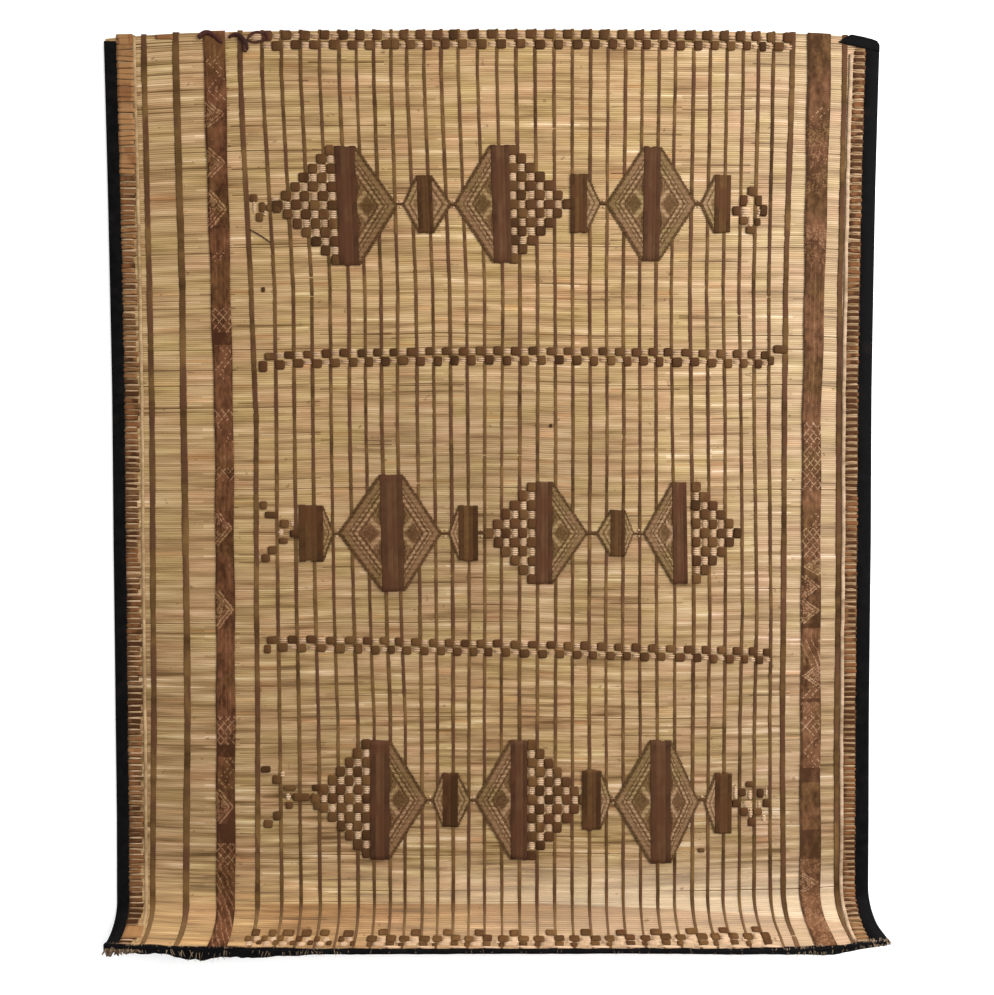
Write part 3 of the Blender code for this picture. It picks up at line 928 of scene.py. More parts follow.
def layLoft(name, points, material, slot, *replaced, **values):
    # a closed skin through rings of points, capped at both ends
    rings, sides = points.shape[:2]
    ring = np.arange(rings - 1)[:, None] * sides
    side = np.arange(sides)[None]
    after = (side + 1) % sides
    quads = np.stack([ring + side, ring + after, ring + sides + after, ring + sides + side], axis=-1)
    quads = quads.reshape(-1)
    caps = np.concatenate([np.arange(sides)[::-1], np.arange(sides) + (rings - 1) * sides])
    starts = np.concatenate([np.arange((rings - 1) * sides) * 4, len(quads) + np.array([0, sides])])
    piece = meshOf(name, points.reshape(-1, 3), starts, np.concatenate([quads, caps]), material)
    for key, value in values.items():
        addValues(piece, **{key: np.broadcast_to(value, (rings, sides))})
    editMesh(piece)
    bpy.ops.mesh.select_all(action="SELECT")
    bpy.ops.mesh.normals_make_consistent(inside=False)
    leaveMesh()
    finishPiece(piece, slot, *replaced)


def layTubes(name, sides, rings, paths, material, slot):
    # soft cords, a tone and a few guiding places for each: x, run, height and radius
    master = reedMaster(sides, rings)
    ring = master.rings(0, rings)
    share = np.linspace(0.0, 1.0, rings)[:, None]
    copies = []
    for tone, stops in paths:
        lines = np.repeat(np.array(stops, float)[:, None], rings, axis=1)
        while len(lines) > 1:
            lines = lines[:-1] * (1.0 - share) + lines[1:] * share
        x, run, height, radius = lines[0].T
        centre = place(x, run, height)
        ahead = np.gradient(centre, axis=0)
        ahead /= np.maximum(np.linalg.norm(ahead, axis=1, keepdims=True), 1e-9)
        side = np.cross(ahead, (0.13, 0.21, 0.97))
        side /= np.maximum(np.linalg.norm(side, axis=1, keepdims=True), 1e-9)
        up = np.cross(side, ahead)
        reach = radius[ring, None]
        beside = side[ring] * master.points[:, 1:2] * reach
        copies.append(centre[ring] + beside + up[ring] * master.points[:, 2:3] * reach)
    tones = [tone for tone, _ in paths]
    finishPiece(layCopies(name, master, np.stack(copies), material, tone=tones), slot)


# How much lower the palest cells of a weaving lie than dark ones, and its rim than the rest
cellRelief = 0.00035
cellRim = 0.0004


class Weaving:
    # cells of close weaving, pale or dark, gathered into one piece

    def __init__(self):
        self.points = []
        self.corners = []
        self.light = []
        self.count = 0

    def add(self, x, run, light, keep, base):
        # x and run are given for the corners of the cells, light and keep for the cells
        rows, columns = light.shape
        near = np.zeros((rows + 1, columns + 1))
        total = np.zeros((rows + 1, columns + 1))
        for down in (0, 1):
            for over in (0, 1):
                near[down:rows + down, over:columns + over] += np.where(keep, light, 0.0)
                total[down:rows + down, over:columns + over] += keep
        used = total > 0
        height = base - cellRelief * near / np.maximum(total, 1) - cellRim * (total < 4)
        index = np.full(used.shape, -1)
        index[used] = np.arange(used.sum()) + self.count
        self.count += used.sum()
        self.points.append(place(x, run, height)[used])
        row, column = np.nonzero(keep)
        low, high = index[row, column], index[row + 1, column]
        self.corners.append(np.stack([low, index[row, column + 1], index[row + 1, column + 1], high], axis=1))
        self.light.append(light[keep])

    def build(self, name, material, thickness, slot, *replaced):
        corners = np.concatenate(self.corners)
        starts = np.arange(len(corners)) * 4
        piece = meshOf(name, np.concatenate(self.points), starts, corners.ravel(), material, False)
        addValues(piece, "FACE", light=np.concatenate(self.light))
        thicken(piece, thickness)
        finishPiece(piece, slot, *replaced)


# Woven figures

# A row's place along the mat, then its figures, in millimetres: left point, left and right edge of
# the upright bar, right point, half height, and how the left and the right half are worked
figureRows = (
    (567, (
        (-409, -304, -265, -186, 116, "check", "woven"),
        (-175, -145, -116, -78, 56, "small", "small"),
        (-72, 2, 37, 153, 115, "woven", "check"),
        (156, 156, 188, 216, 57, "none", "small"),
        (227, 300, 332, 403, 111, "woven", "woven"),
        (412, 440, 471, 471, 56, "small", "none"),
    )),
    (-83, (
        (-384, -384, -336, -314, 56, "none", "small"),
        (-304, -220, -176, -101, 116, "woven", "woven"),
        (-85, -65, -27, -27, 55, "small", "none"),
        (-13, 89, 121, 191, 102, "check", "woven"),
        (210, 238, 266, 284, 47, "small", "small"),
        (304, 362, 390, 504, 101, "woven", "check"),
    )),
    (-622, (
        (-360, -244, -206, -130, 121, "check", "woven"),
        (-119, -98, -68, -41, 55, "small", "small"),
        (-32, 39, 72, 181, 122, "woven", "check"),
        (183, 183, 220, 242, 61, "none", "small"),
        (248, 321, 361, 418, 125, "woven", "woven"),
        (430, 451, 484, 484, 62, "small", "none"),
    )),
)
# Figures that lie above or below their row's line, by the row's place and the figure's left point
figureRise = {(567, -409): -4, (567, 156): 1, (-622, 248): -4, (-622, 430): -7}
figureShade = {(567, -175): -0.20, (-622, -119): -0.55}      # bars worked in darker leather
# Rows and columns of the squares in a checked half, how wide a column is, how far from the bar it
# starts and how far above the row's line it lies, by the row's place and the bar's edge
checkHalves = {
    (567, -304): (13, 7, 18.0, 0.0, -2),
    (567, 37): (13, 7, 17.6, -3.0, 0),
    (-83, 89): (11, 6, 17.0, 0.0, 0),
    (-83, 390): (11, 6, 16.4, 11.0, 0),
    (-622, -244): (13, 7, 17.2, 0.0, 2),
    (-622, 72): (13, 7, 17.4, 0.0, 0),
}
weaving = {
    "cell": 2.35,            # millimetres
    "top": 0.0074,           # height of the woven leather's face
    "thick": 0.0011,
    "uneven": 0.12,          # how far each cell goes from its tone
    "reach": 1.03,           # how far the cells reach, against the half's outline
    "ribs": (0.27, 0.25, 0.22, 0.26),    # leather strips in an upright bar, as shares of its width
    "ribTones": (0.16, 0.62, 0.50, 0.20),
    "ribOff": 0.12,          # how far each goes from its tone
    "smallDarker": 0.18,
    "ribLap": 0.4,           # millimetres, as is all down to joinEnds
    "ragged": 1.3,           # how unevenly their ends are cut
    "smallHalf": 80,         # half height under which a bar is small and worked in darker leather
    "joined": 3,             # from this gap on, two figures are joined by a small square and stalk ends
    "joinLap": 7,
    "joinTall": 4.6,
    "joinEnds": (6.2, 5.5, 4.2),         # how far from the line, width and height
    "barBase": 0.0058,
    "barThick": 0.0021,
}
# Leather squares, and the pale stalk ends that show between them
squareWork = {
    "base": 0.0052,
    "thick": 0.0023,
    "larger": 1.06,          # than the place they fill
    "offPlace": (0.0010, 0.0011),        # how far a square lies off it, across and along
    "offSize": 0.0014,
    "offTurn": 0.07,
    "tone": (0.34, 0.42),    # middle, and how far it goes from there
    "drape": 1.4,            # how far those past the top end hang down
    "checkLap": 0.6,         # in checked halves, millimetres
    "endInset": (2.8, 2.6),
    "endTall": 0.0042,       # about the height of one stalk end
    "endBase": 0.0048,
    "endOff": (0.0007, 0.0005),          # how far a patch of ends lies off its place, and each of them
    "endTones": (0.25, 0.22),            # how far its tone goes, and that of each of them
    "endShort": (0.0008, 0.0028),        # of the patch's width, and the outer ones more
    "endThick": 0.56,        # radius, against the room that each has
}
# All that is laid on the face, gathered here and then made one piece of each kind
squares = []
creamReeds = []
ribs = []
smallRibs = []
wovenCells = Weaving()


def addSquare(x, run, width, length, tone=None):
    work = squareWork
    slack = chance.uniform(-1, 1, 6)
    spot = (x + work["offPlace"][0] * slack[1], run + work["offPlace"][1] * slack[2])
    size = [side * work["larger"] + work["offSize"] * off for side, off in zip((width, length), slack[3:5])]
    if tone is None:
        tone = work["tone"][0] + work["tone"][1] * slack[0]
    squares.append((*spot, *size, work["offTurn"] * slack[5], work["base"], work["thick"], tone))


def addCream(x, run, width, length, tone=0.5):
    # pale stalk ends one above the other, the outer ones shorter
    work = squareWork
    patchOff, endOff = work["endOff"]
    patchTone, endTone = work["endTones"]
    short, outerShort = work["endShort"]
    count = max(1, round(length / work["endTall"]))
    step = length / count
    x, run = x + patchOff * chance.uniform(-1, 1), run + patchOff * chance.uniform(-1, 1)
    patch = tone + patchTone * chance.uniform(-1, 1)
    for number in range(count):
        outer = count > 2 and number in (0, count - 1)
        level = run - length / 2.0 + step * (number + 0.5)
        wide = width - short - outerShort * outer
        shift = endOff * chance.uniform(-1, 1)
        own = patch + endTone * chance.uniform(-1, 1)
        creamReeds.append((x + shift, level, wide, step * work["endThick"], work["endBase"], own))


def addBar(figure, centre, deeper):
    left, barLeft, barRight, right, half = figure[:5]
    small = half < weaving["smallHalf"]
    seams = np.cumsum([0.0, *weaving["ribs"]]) * (barRight - barLeft) + barLeft
    for start, stop, ribTone in zip(seams, seams[1:], weaving["ribTones"]):
        x = (start + stop) / 2.0 * millimetre
        high = (centre + half + weaving["ragged"] * chance.uniform(-1, 1)) * millimetre
        low = (centre - half + weaving["ragged"] * chance.uniform(-1, 1)) * millimetre
        ends = followX(np.array([x, x]), centre * millimetre, np.array([low, high]))
        turn = -math.atan2(ends[1] - ends[0], high - low)
        tone = ribTone + weaving["ribOff"] * chance.uniform(-1, 1) - weaving["smallDarker"] * small + deeper
        width = (stop - start + weaving["ribLap"]) * millimetre
        (smallRibs if small else ribs).append((
            ends.mean(), (low + high) / 2.0, width, high - low, turn, weaving["barBase"], weaving["barThick"],
            tone))


# The lines of a woven half that run beside its outline: from and to, on a scale that is 0 at the
# middle of the bar and 1 at the outline, and how pale their dots are and the cells between
wovenLines = (
    (0.48, 0.56, 0.14, 0.20),
    (0.56, 0.645, 0.92, 0.50),
    (0.645, 0.70, 0.16, 0.12),
    (0.70, 0.765, 0.74, 0.40),
    (0.765, 0.80, 0.14, 0.20),
    (0.80, 0.935, 0.56, 0.44),
    (0.935, 9.0, 0.16, 0.10),
)
smallLines = (
    (0.30, 0.48, 0.92, 0.66),
    (0.48, 0.62, 0.30, 0.30),
    (0.62, 0.84, 0.84, 0.60),
    (0.84, 9.0, 0.14, 0.14),
)


def workLines(light, out, dots, lines):
    for low, high, dotted, plain in lines:
        light = np.where((out > low) & (out <= high), np.where(dots, dotted, plain), light)
    return light


def wovenLight(p, q, column, dots):
    # how pale a cell of a figure's half is: p from 0 at the bar to 1 at its point, q from 0 on
    # the row's line to 1 at the bar's end. A lozenge lies on the line, a dark wedge at each side.
    light = np.where(dots & (column % 2 == 0), 0.52, 0.34)
    wedge = (q > 0.13) & (q < 0.50) & (p < 0.09 * (1.0 - np.abs(q - 0.31) / 0.19))
    light = np.where(wedge, 0.10, light)
    lozenge = np.abs(p - 0.26) / 0.20 + q / 0.16
    light = np.where((lozenge < 1.9) & (lozenge > 1.25), np.where(dots, 0.92, 0.66), light)
    light = np.where(lozenge < 1.0, 0.20, light)
    return workLines(light, p + q, dots, wovenLines)


def smallLight(p, q, column, dots):
    return workLines(np.where(dots, 0.46, 0.36), p + q, dots, smallLines)


charts = {"woven": wovenLight, "small": smallLight}


def addWoven(centre, edge, point, half, chart):
    cell = weaving["cell"]
    columns = max(4, round(abs(point - edge) / cell))
    rows = round(2.0 * half / cell)
    i, j = np.meshgrid(np.arange(columns), np.arange(rows))      # j upwards from the lower end
    p = (i + 0.5) / columns
    q = np.abs((j + 0.5) / rows * 2.0 - 1.0)
    light = chart(p, q, i, (j // 2) % 2 == 0) + weaving["uneven"] * chance.uniform(-1, 1, p.shape)
    keep = p + q < weaving["reach"]
    over, down = np.meshgrid(np.arange(columns + 1) / columns, np.arange(rows + 1) / rows * 2.0 - 1.0)
    run = (centre + half * down) * millimetre
    x = followX((edge + (point - edge) * over) * millimetre, centre * millimetre, run)
    if point < edge:
        x, run, light, keep = x[:, ::-1], run[:, ::-1], light[:, ::-1], keep[:, ::-1]
    wovenCells.add(x, run, light, keep, weaving["top"])


def addChecks(centre, edge, point, half):
    rows, columns, pitch, start, rise = checkHalves[centre, edge]
    centre = centre + rise
    step = 2.0 * half / rows
    side = math.copysign(1.0, point - edge)
    middle = (rows - 1) // 2
    for column in range(columns):
        x = edge + side * (start + pitch * (column + 0.5))
        for row in range(rows):
            away = abs(row - middle)
            if away > middle - column:
                continue
            run = (centre + (row - middle) * step) * millimetre
            at = float(followX(np.array([x * millimetre]), centre * millimetre, np.array([run]))[0])
            if (middle - column - away) % 2 == 0:
                addSquare(at, run, *inMetres(pitch, step + squareWork["checkLap"]))
            else:
                insetAcross, insetAlong = squareWork["endInset"]
                addCream(at, run, *inMetres(pitch - insetAcross, step - insetAlong))


def addFigures():
    for centre, figures in figureRows:
        for figure in figures:
            left, barLeft, barRight, right, half, leftKind, rightKind = figure
            level = centre + figureRise.get((centre, left), 0)
            addBar(figure, level, figureShade.get((centre, left), 0.0))
            for edge, point, kind in ((barLeft, left, leftKind), (barRight, right, rightKind)):
                if kind == "check":
                    addChecks(centre, edge, point, half)
                elif kind in charts:
                    addWoven(level, edge, point, half, charts[kind])
        for before, after in zip(figures, figures[1:]):
            gap = after[0] - before[3]
            if gap > weaving["joined"]:
                x = (after[0] + before[3]) / 2.0
                addSquare(*inMetres(x, centre, gap + weaving["joinLap"], weaving["joinTall"]), 0.2)
                away, wide, tall = weaving["joinEnds"]
                for shift in (-away, away):
                    addCream(*inMetres(x, centre + shift, wide, tall), 0.25)


# The tails of the rows, squares in millimetres from the row's line: x, run, width, height
tails = {
    567: (
        (-468, 11, 14, 13), (-452, -6, 12, 17), (-458, -26, 14, 15), (-424, -7, 17, 17), (-440, -7, 8, 13),
        (482, -14, 14, 16), (496, 6, 15, 19), (514, 24, 16, 17), (527, 6, 12, 18), (538, -12, 12, 20),
        (525, -34, 12, 13), (512, -52, 16, 13), (498, -33, 15, 13),
    ),
    -83: (
        (-456, 56, 14, 16), (-439, 37, 24, 14), (-414, 18, 18, 16), (-391, 0, 22, 14), (-416, -15, 17, 12),
        (-438, -34, 17, 16), (-451, -51, 15, 14),
    ),
    -622: (
        (-456, 61, 18, 12), (-434, 42, 17, 16), (-407, 24, 22, 10), (-383, 5, 32, 16), (-408, -12, 13, 13),
        (-434, -33, 13, 17), (-451, -50, 16, 15), (-353, 25, 15, 13), (-353, -13, 14, 14), (-345, 12, 6, 12),
        (494, -7, 16, 14), (505, 15, 14, 15), (521, 31, 16, 12), (542, 13, 13, 16), (555, -8, 15, 15),
        (538, -25, 15, 14), (509, -25, 14, 15), (525, -46, 15, 15),
    ),
}
# Pale patches among them: x, run, width, height
tailPatches = {
    567: ((-468, -5, 7, 22), (508, 13, 11, 20), (502, -14, 22, 14), (510, -34, 10, 20), (528, -15, 7, 10),
          (470, -28, 9, 30), (-446, -18, 8, 10), (-427, 9, 14, 7)),
    -83: ((-421, 2, 12, 12), (-398, 20, 9, 12)),
    -622: ((-355, 5, 13, 17), (-411, 6, 11, 13), (-422, 52, 9, 10), (521, 10, 10, 18), (517, -9, 20, 13),
           (539, -9, 7, 13), (523, -28, 9, 18), (493, 14, 9, 24), (554, 15, 6, 18), (550, -38, 10, 12)),
}


def addTails():
    for centre, items in tails.items():
        for x, rise, width, height in items:
            addSquare(*inMetres(x, centre + rise, width, height))
    for centre, items in tailPatches.items():
        for x, rise, width, height in items:
            addCream(*inMetres(x, centre + rise, width, height), 0.6)


# Rows of squares

checkRows = {
    # in millimetres: left end, rise in the middle, right end, height above and below the line
    "rows": ((260.5, 9.5, 261, 17.0, 19.5), (-303.5, 2.5, -331, 17.0, 18.0)),
    "topInset": 0.0195,
    "topAbove": 0.0205,
    "topBelow": 0.0190,
    "topTurned": 11,         # left of this strip the top row stands the other way round
    # squares where those rows begin and end: x, run, width, height
    "ends": ((-453.5, 248.5, 15, 20), (-440, 269, 19, 15), (555, 259, 12, 16), (574, 282.5, 26, 16),
             (-449, -316, 14, 16), (-440, -297, 19, 15)),
    # small dark spots on the stalks, with their tone
    "marks": ((-451, 400, 6, 9, -0.1), (118, 131, 6, 6, -0.1), (423, -725, 13, 7, 0.5)),
    # patches of stalk ends beside the knots
    "patches": ((-460, 891, 26, 13, 0.3), (-519.5, 895, 14, 11, 0.3)),
    "gap": 0.0010,           # between squares across the mat
    "gapAlong": 0.0022,
    "endShorter": 0.0014,    # than a square, the stalk ends across the line from it
    "endShare": 0.46,        # of the square's height that they take
    "endTone": 0.25,
}
# The last row, over the curl, on three lines at these distances from the lower end
lastRow = {
    "upper": 0.048,
    "middle": 0.033,
    "lower": 0.020,
    "tall": 0.0140,
    "tone": (0.70, 0.35),    # redder and paler than the other squares, and how far it goes from there
    "run": -0.90,            # where the places of its strips are taken
    # x and width in millimetres, left of the regular part
    "left": ((-470, 16.5), (-437, 13.5), (-404, 21), (-368, 19.5), (-332, 18), (-285, 19.5)),
    "strips": range(9, 33, 2),
}
# What is laid at each place of its left part: how far to the right, the line, how far above it, width
# where it isn't the place's own, height against the row's squares, and the tone of stalk ends
lastRowLeft = (
    (addSquare, 0.0, "upper", -0.002, None, 1.0),
    (addSquare, -0.013, "middle", 0.0, 0.011, 0.9),
    (addCream, 0.004, "middle", -0.001, 0.015, 0.8, 0.8),
    (addCream, -0.006, "lower", 0.0, 0.017, 0.8, 0.8),
    (addSquare, 0.012, "lower", 0.002, 0.010, 0.7),
)
# What is laid over every second panel of its regular part: which of the three strips there it is
# measured from, how far to the right and how wide against half a panel, then as above
lastRowWork = (
    (addSquare, 1, -0.62, 1.05, "upper", 0.0, 0.9),
    (addSquare, 0, 0.10, 1.1, "middle", 0.0, 1.0),
    (addSquare, 1, 0.42, 1.1, "middle", 0.002, 0.95),
    (addCream, 1, -0.68, 1.2, "middle", -0.002, 1.0, 0.8),
    (addCream, 0, 0.9, 1.5, "lower", 0.002, 0.75, 0.7),
    (addCream, 2, -0.55, 0.7, "middle", -0.006, 0.6, 0.7),
    (addSquare, 1, 0.35, 0.9, "lower", 0.001, 0.7),
    (addCream, 1, 0.5, 2.4, "lower", -0.009, 0.35, 0.9),
    (addSquare, 0, -0.1, 0.6, "lower", -0.002, 0.7),
)


def addCheckRow(line, above, below, last=lastThong, turned=0):
    # in each panel a square on one side of the line and one on the other, with stalk ends across
    work = checkRows

    def onLine(strip):
        return float(stripX(strip, line(float(stripX(strip, 0.0)))))

    for number in range(firstThong + 1, last):
        start, stop = onLine(number), onLine(number + 1)
        step = (start + stop) / 2.0
        lefts, rights = (above, below) if number < turned else (-below, -above)
        for x, tall in (((start + step) / 2.0, lefts), ((step + stop) / 2.0, -rights)):
            wide = step - start - work["gap"]
            ends = tall * work["endShare"]
            addSquare(x, line(x) + tall / 2.0, wide, abs(tall) - work["gapAlong"])
            addCream(x, line(x) - ends, wide - work["endShorter"], abs(ends), work["endTone"])


def addLastRow():
    def end(x):
        return float(lowerEnd(x))

    tall = lastRow["tall"]
    already = len(squares)
    for spot in lastRow["left"]:
        x, ownWide = inMetres(*spot)
        for lay, shift, line, rise, wide, high, *tone in lastRowLeft:
            lay(x + shift, end(x) + lastRow[line] + rise, wide or ownWide, tall * high, *tone)
    for number in lastRow["strips"]:
        near = [float(stripX(number + after, lastRow["run"])) for after in range(3)]
        half = (near[1] - near[0]) / 2.0
        for lay, strip, shift, wide, line, rise, high, *tone in lastRowWork:
            x = near[strip]
            lay(x + half * shift, end(x) + lastRow[line] + rise, half * wide, tall * high, *tone)
    tone, toneOff = lastRow["tone"]
    for number in range(already, len(squares)):
        squares[number] = (*squares[number][:-1], tone + toneOff * chance.uniform(-1, 1))


def addCheckRows():
    first, last = float(stripX(firstThong, 0.0)), float(stripX(lastThong, 0.0))
    for left, rise, right, above, below in checkRows["rows"]:
        def line(x, left=left, rise=rise, right=right):
            part = (x - first) / (last - first)
            return (left + (right - left) * part + rise * 4.0 * part * (1.0 - part)) * millimetre
        addCheckRow(line, above * millimetre, below * millimetre, lastThong - 1)

    def topLine(x):
        return float(topEnd(x)) - checkRows["topInset"]

    addCheckRow(topLine, checkRows["topAbove"], checkRows["topBelow"], turned=checkRows["topTurned"])
    for x, run, width, height, *tone in checkRows["ends"] + checkRows["marks"]:
        addSquare(*inMetres(x, run, width, height), *tone)
    addLastRow()
    for x, run, width, height, tone in checkRows["patches"]:
        addCream(*inMetres(x, run, width, height), tone)


def layFigures():
    addFigures()
    addTails()
    addCheckRows()
    pad = padMaster()
    bar = slabMaster(24, 0.07)
    figureNodes = [f"figure_row_{number}" for number in range(1, 4)]
    checkNodes = [f"check_row_{number}" for number in range(1, 5)]
    layPads("figureBars", bar, ribs, barLeather, "brown_leather", *figureNodes)
    layPads("smallBars", bar, smallRibs, squareLeather, "brown_leather")
    layPads("leatherSquares", pad, squares, squareLeather, "brown_leather", *checkNodes,
            drape=squareWork["drape"])
    layReeds("creamStalks", reedMaster(5, 4), creamReeds, paleStalks, "straw")
    wovenCells.build("figureWeaving", wovenLeather, weaving["thick"], "brown_leather")


# Woven bands

bands = {
    "columns": 18,
    "cell": 0.0025,          # along the mat
    "top": 0.0070,
    "thick": 0.0013,
    "wavy": 0.0008,          # how unevenly their edges lie
    # how much paler they are at the top and at the lower end
    "trend": {"woven_band_left": (0.03, -0.05), "woven_band_right": (-0.06, 0.05)},
    "worn": (0.30, 5, 5),    # how far the work is worn in patches, and how many cells tall and wide
    "stained": ((0.13, 11, 5), (0.12, 3, 2)),        # how pale or dark they are, likewise
    "speck": 0.10,
    "shade": (0.14, 0.10),   # on two cells at the left edge and one at the right
}
# What a band is worked with, from its top end down, each up to the distance given in millimetres
bandWork = {
    "woven_band_left": (
        (50, "lines"), (138, "dots"), (187, "chevron"), (227, "plain"), (286, "chevron"), (310, "plain"),
        (384, "chevron"), (433, "lines"), (453, "dots"), (542, "lines"), (591, "lattice"), (615, "dark"),
        (686, "dots"), (742, "plain"), (758, "lattice"), (808, "dots"), (857, "lines"), (886, "lattice"),
        (945, "lines"), (1015, "chevron"), (1105, "plain"), (1183, "chevron"), (1360, "lines"),
        (1418, "lattice"), (1442, "dark"), (1510, "dots"), (1580, "chevron"), (1620, "dark"),
        (1665, "lattice"), (1900, "diagonal"),
    ),
    "woven_band_right": (
        (138, "plain"), (168, "dots"), (315, "mottled"), (375, "plain"), (453, "mottled"), (768, "lines"),
        (905, "lattice"), (945, "lines"), (980, "dots"), (1040, "lattice"), (1075, "back"),
        (1122, "chevron"), (1172, "chevron"), (1182, "dark"), (1205, "lines"), (1258, "diagonal"),
        (1300, "back"), (1324, "dots"), (1332, "dark"), (1360, "mottled"), (1390, "lattice"),
        (1468, "dots"), (1498, "dark"), (1596, "plain"), (1655, "dark"), (1685, "mottled"),
        (1725, "chevron"), (1900, "mottled"),
    ),
}


def softNoise(rows, columns, tall, wide):
    # patches from -1 to 1, about tall rows high and wide columns across
    coarse = chance.uniform(-1.0, 1.0, (int(rows / tall) + 2, int(columns / wide) + 2))
    down = np.linspace(0.0, coarse.shape[0] - 1.0, rows)
    over = np.linspace(0.0, coarse.shape[1] - 1.0, columns)
    across = np.stack([np.interp(over, np.arange(coarse.shape[1]), line) for line in coarse])
    return np.stack([np.interp(down, np.arange(coarse.shape[0]), line) for line in across.T], axis=1)


def worked(kind, part, across, row, column, speck, stray):
    # how pale the cells of one kind of work are: part from 0 to 1 down its length, across from 0 to 1
    # over the band; speck breaks up the pale cells, stray bends the lines
    dots = (row + column) % 2 == 0
    side = (1.0 - across if kind == "back" else across) + 0.05 * stray
    if kind in ("chevron", "back"):
        line = 0.14 + 0.74 * (1.0 - np.abs(2.0 * part - 1.0))
        pale = (np.abs(side - line) < 0.05) | (np.abs(side - line + 0.20) < 0.045)
        made = np.where(pale, np.where(speck > 0.35, 0.72, 0.40), 0.18)
        made = np.where((side < line - 0.30) & dots & (speck > 0.45), 0.62, made)
        return np.where(side > line + 0.07, 0.12, made)
    if kind == "lattice":
        crossed = ((row + column) % 7 == 0) | ((row - column) % 7 == 0)
        return np.where(crossed, np.where(speck > 0.35, 0.74, 0.34), 0.16)
    if kind == "diagonal":
        return np.where((row + 2 * column + 3 * stray) % 11 < 2.5, np.where(speck > 0.4, 0.62, 0.34), 0.20)
    if kind == "dots":
        zigzag = np.abs(row % 22 - 11) + 2 - column
        return np.where(((zigzag == 0) | (zigzag == -6)) & (row % 3 > 0) & (speck > 0.25), 0.80, 0.20)
    if kind == "lines":
        return np.where(column % 4 == 1, 0.30, 0.19)
    if kind == "mottled":
        return np.where(dots & (speck > 0.62), 0.44, 0.20)
    return {"dark": 0.0, "plain": 0.18}[kind]


def bandLight(work, depth, columns, trend):
    # how pale each cell of a band is; depth is the distance from the top end, in millimetres
    shape = (len(depth), columns)
    row, column = np.indices(shape)
    across = (column + 0.5) / columns
    depth = depth[:, None]
    speck = chance.uniform(0, 1, shape)
    stray = softNoise(*shape, 9, 6)
    light = np.zeros(shape)
    begin = 0.0
    for until, kind in work:
        part = np.clip((depth - begin) / (until - begin), 0.0, 1.0)
        made = worked(kind, part, across, row, column, speck, stray)
        light = np.where((depth >= begin) & (depth < until), made, light)
        begin = until
    strength, *size = bands["worn"]
    light = light * (1.0 + strength * softNoise(*shape, *size))
    for strength, *size in bands["stained"]:
        light = light + strength * softNoise(*shape, *size)
    light = light + bands["speck"] * (speck - 0.5)
    light = light + np.linspace(trend[1], trend[0], len(depth))[:, None]
    light[:, :2] -= bands["shade"][0]
    light[:, -1:] -= bands["shade"][1]
    return np.clip(light, 0.0, 1.0)


def layBand(name, pieceName):
    left, right = (inMetres(*stops) for stops in bandPlaces[name])
    rows = round(matLength / bands["cell"])
    share = np.linspace(0.0, 1.0, rows + 1)[:, None]
    over = np.linspace(0.0, 1.0, bands["columns"] + 1)[None]
    guess = share * matLength - mat["lowerRun"]
    x = between(guess, bandRuns, left) * (1.0 - over) + between(guess, bandRuns, right) * over
    low, high = lowerEnd(x) + 0.001, topEnd(x) + 0.0012
    run = low + (high - low) * share
    middle = (share[1:, 0] + share[:-1, 0]) / 2.0
    depth = (1.0 - middle) * matLength / millimetre
    x = x + bands["wavy"] * (np.sin(share * 61.0) * (1.0 - over) + np.sin(share * 47.0 + 2.0) * over)
    light = bandLight(bandWork[name], depth, bands["columns"], bands["trend"][name])
    piece = Weaving()
    piece.add(x, run, light, np.full(light.shape, True), bands["top"])
    piece.build(pieceName, bandLeather, bands["thick"], "brown_leather", name)


# Laced edges, their cords and the bindings

edges = {
    # width of the side bindings, by side, -1 for the left one
    "binding": {-1: 0.0262, 1: 0.0285},
    "cornerCut": 0.014,      # how much shorter the right binding is at its outer top corner
    "curlWider": 0.011,      # and how much wider it is at the curled end, below these runs
    "curlSpan": (0.85, 0.94),
    # side, inset, width, height and how far short of the top end
    "cords": ((-1, 0.0600, 0.0062, 0.0018, 0.0), (1, 0.0560, 0.0074, 0.0030, 0.034)),
    "cordTwist": 0.0065,
    "cordStep": 0.0024,
    "cordBase": 0.0048,
    "cordShort": 0.013,      # of the lower end
}
# The lacing of each side, and below it what both have
lacing = {
    -1: {
        "width": 0.0255,
        "upper": 0.0310,     # above upperRun
        "step": (0.0088, 0.0135),
        "closer": 0.0,       # how much smaller the steps grow towards the lower end
        "short": 0.006,      # of the top end
        "share": (0.44, 0.76),           # of a step that a stitch takes
        "uneven": 0.0040,
        "slant": 0.07,
        "tone": 0.10,
        "endTone": (-0.1, 0.9),          # of the stalks' ends in the gaps
    },
    1: {
        "width": 0.0250,
        "upper": 0.0225,
        "step": (0.0124, 0.0168),
        "closer": 0.28,
        "short": 0.034,
        "share": (0.38, 0.56),
        "uneven": 0.0018,
        "slant": 0.11,
        "tone": -0.85,
        "endTone": (-0.4, 0.5),
    },
}
stitching = {
    "start": 0.018,          # from the lower end
    "upperRun": 0.50,
    "fadedRun": 0.62,        # above this the left lacing is close and faded
    "fadedTone": 0.95,
    "fadedSeam": 0.7,
    "fadedShare": (0.80, 0.95),
    "paler": 1.2,            # how much paler the right lacing grows over the curl, between these runs
    "palerSpan": (0.78, 0.82),           # below the middle
    "twoEnds": 0.0058,       # a wider gap at the right shows two stalk ends
    "base": 0.0046,
    "seamBase": 0.0044,
    "endBase": 0.0052,
    "thick": (0.0012, 0.0022),
    "seamWide": (0.0010, 0.0024),        # a dark thread below each stitch
    "under": 0.0015,         # how far the stitches run in under the binding
}
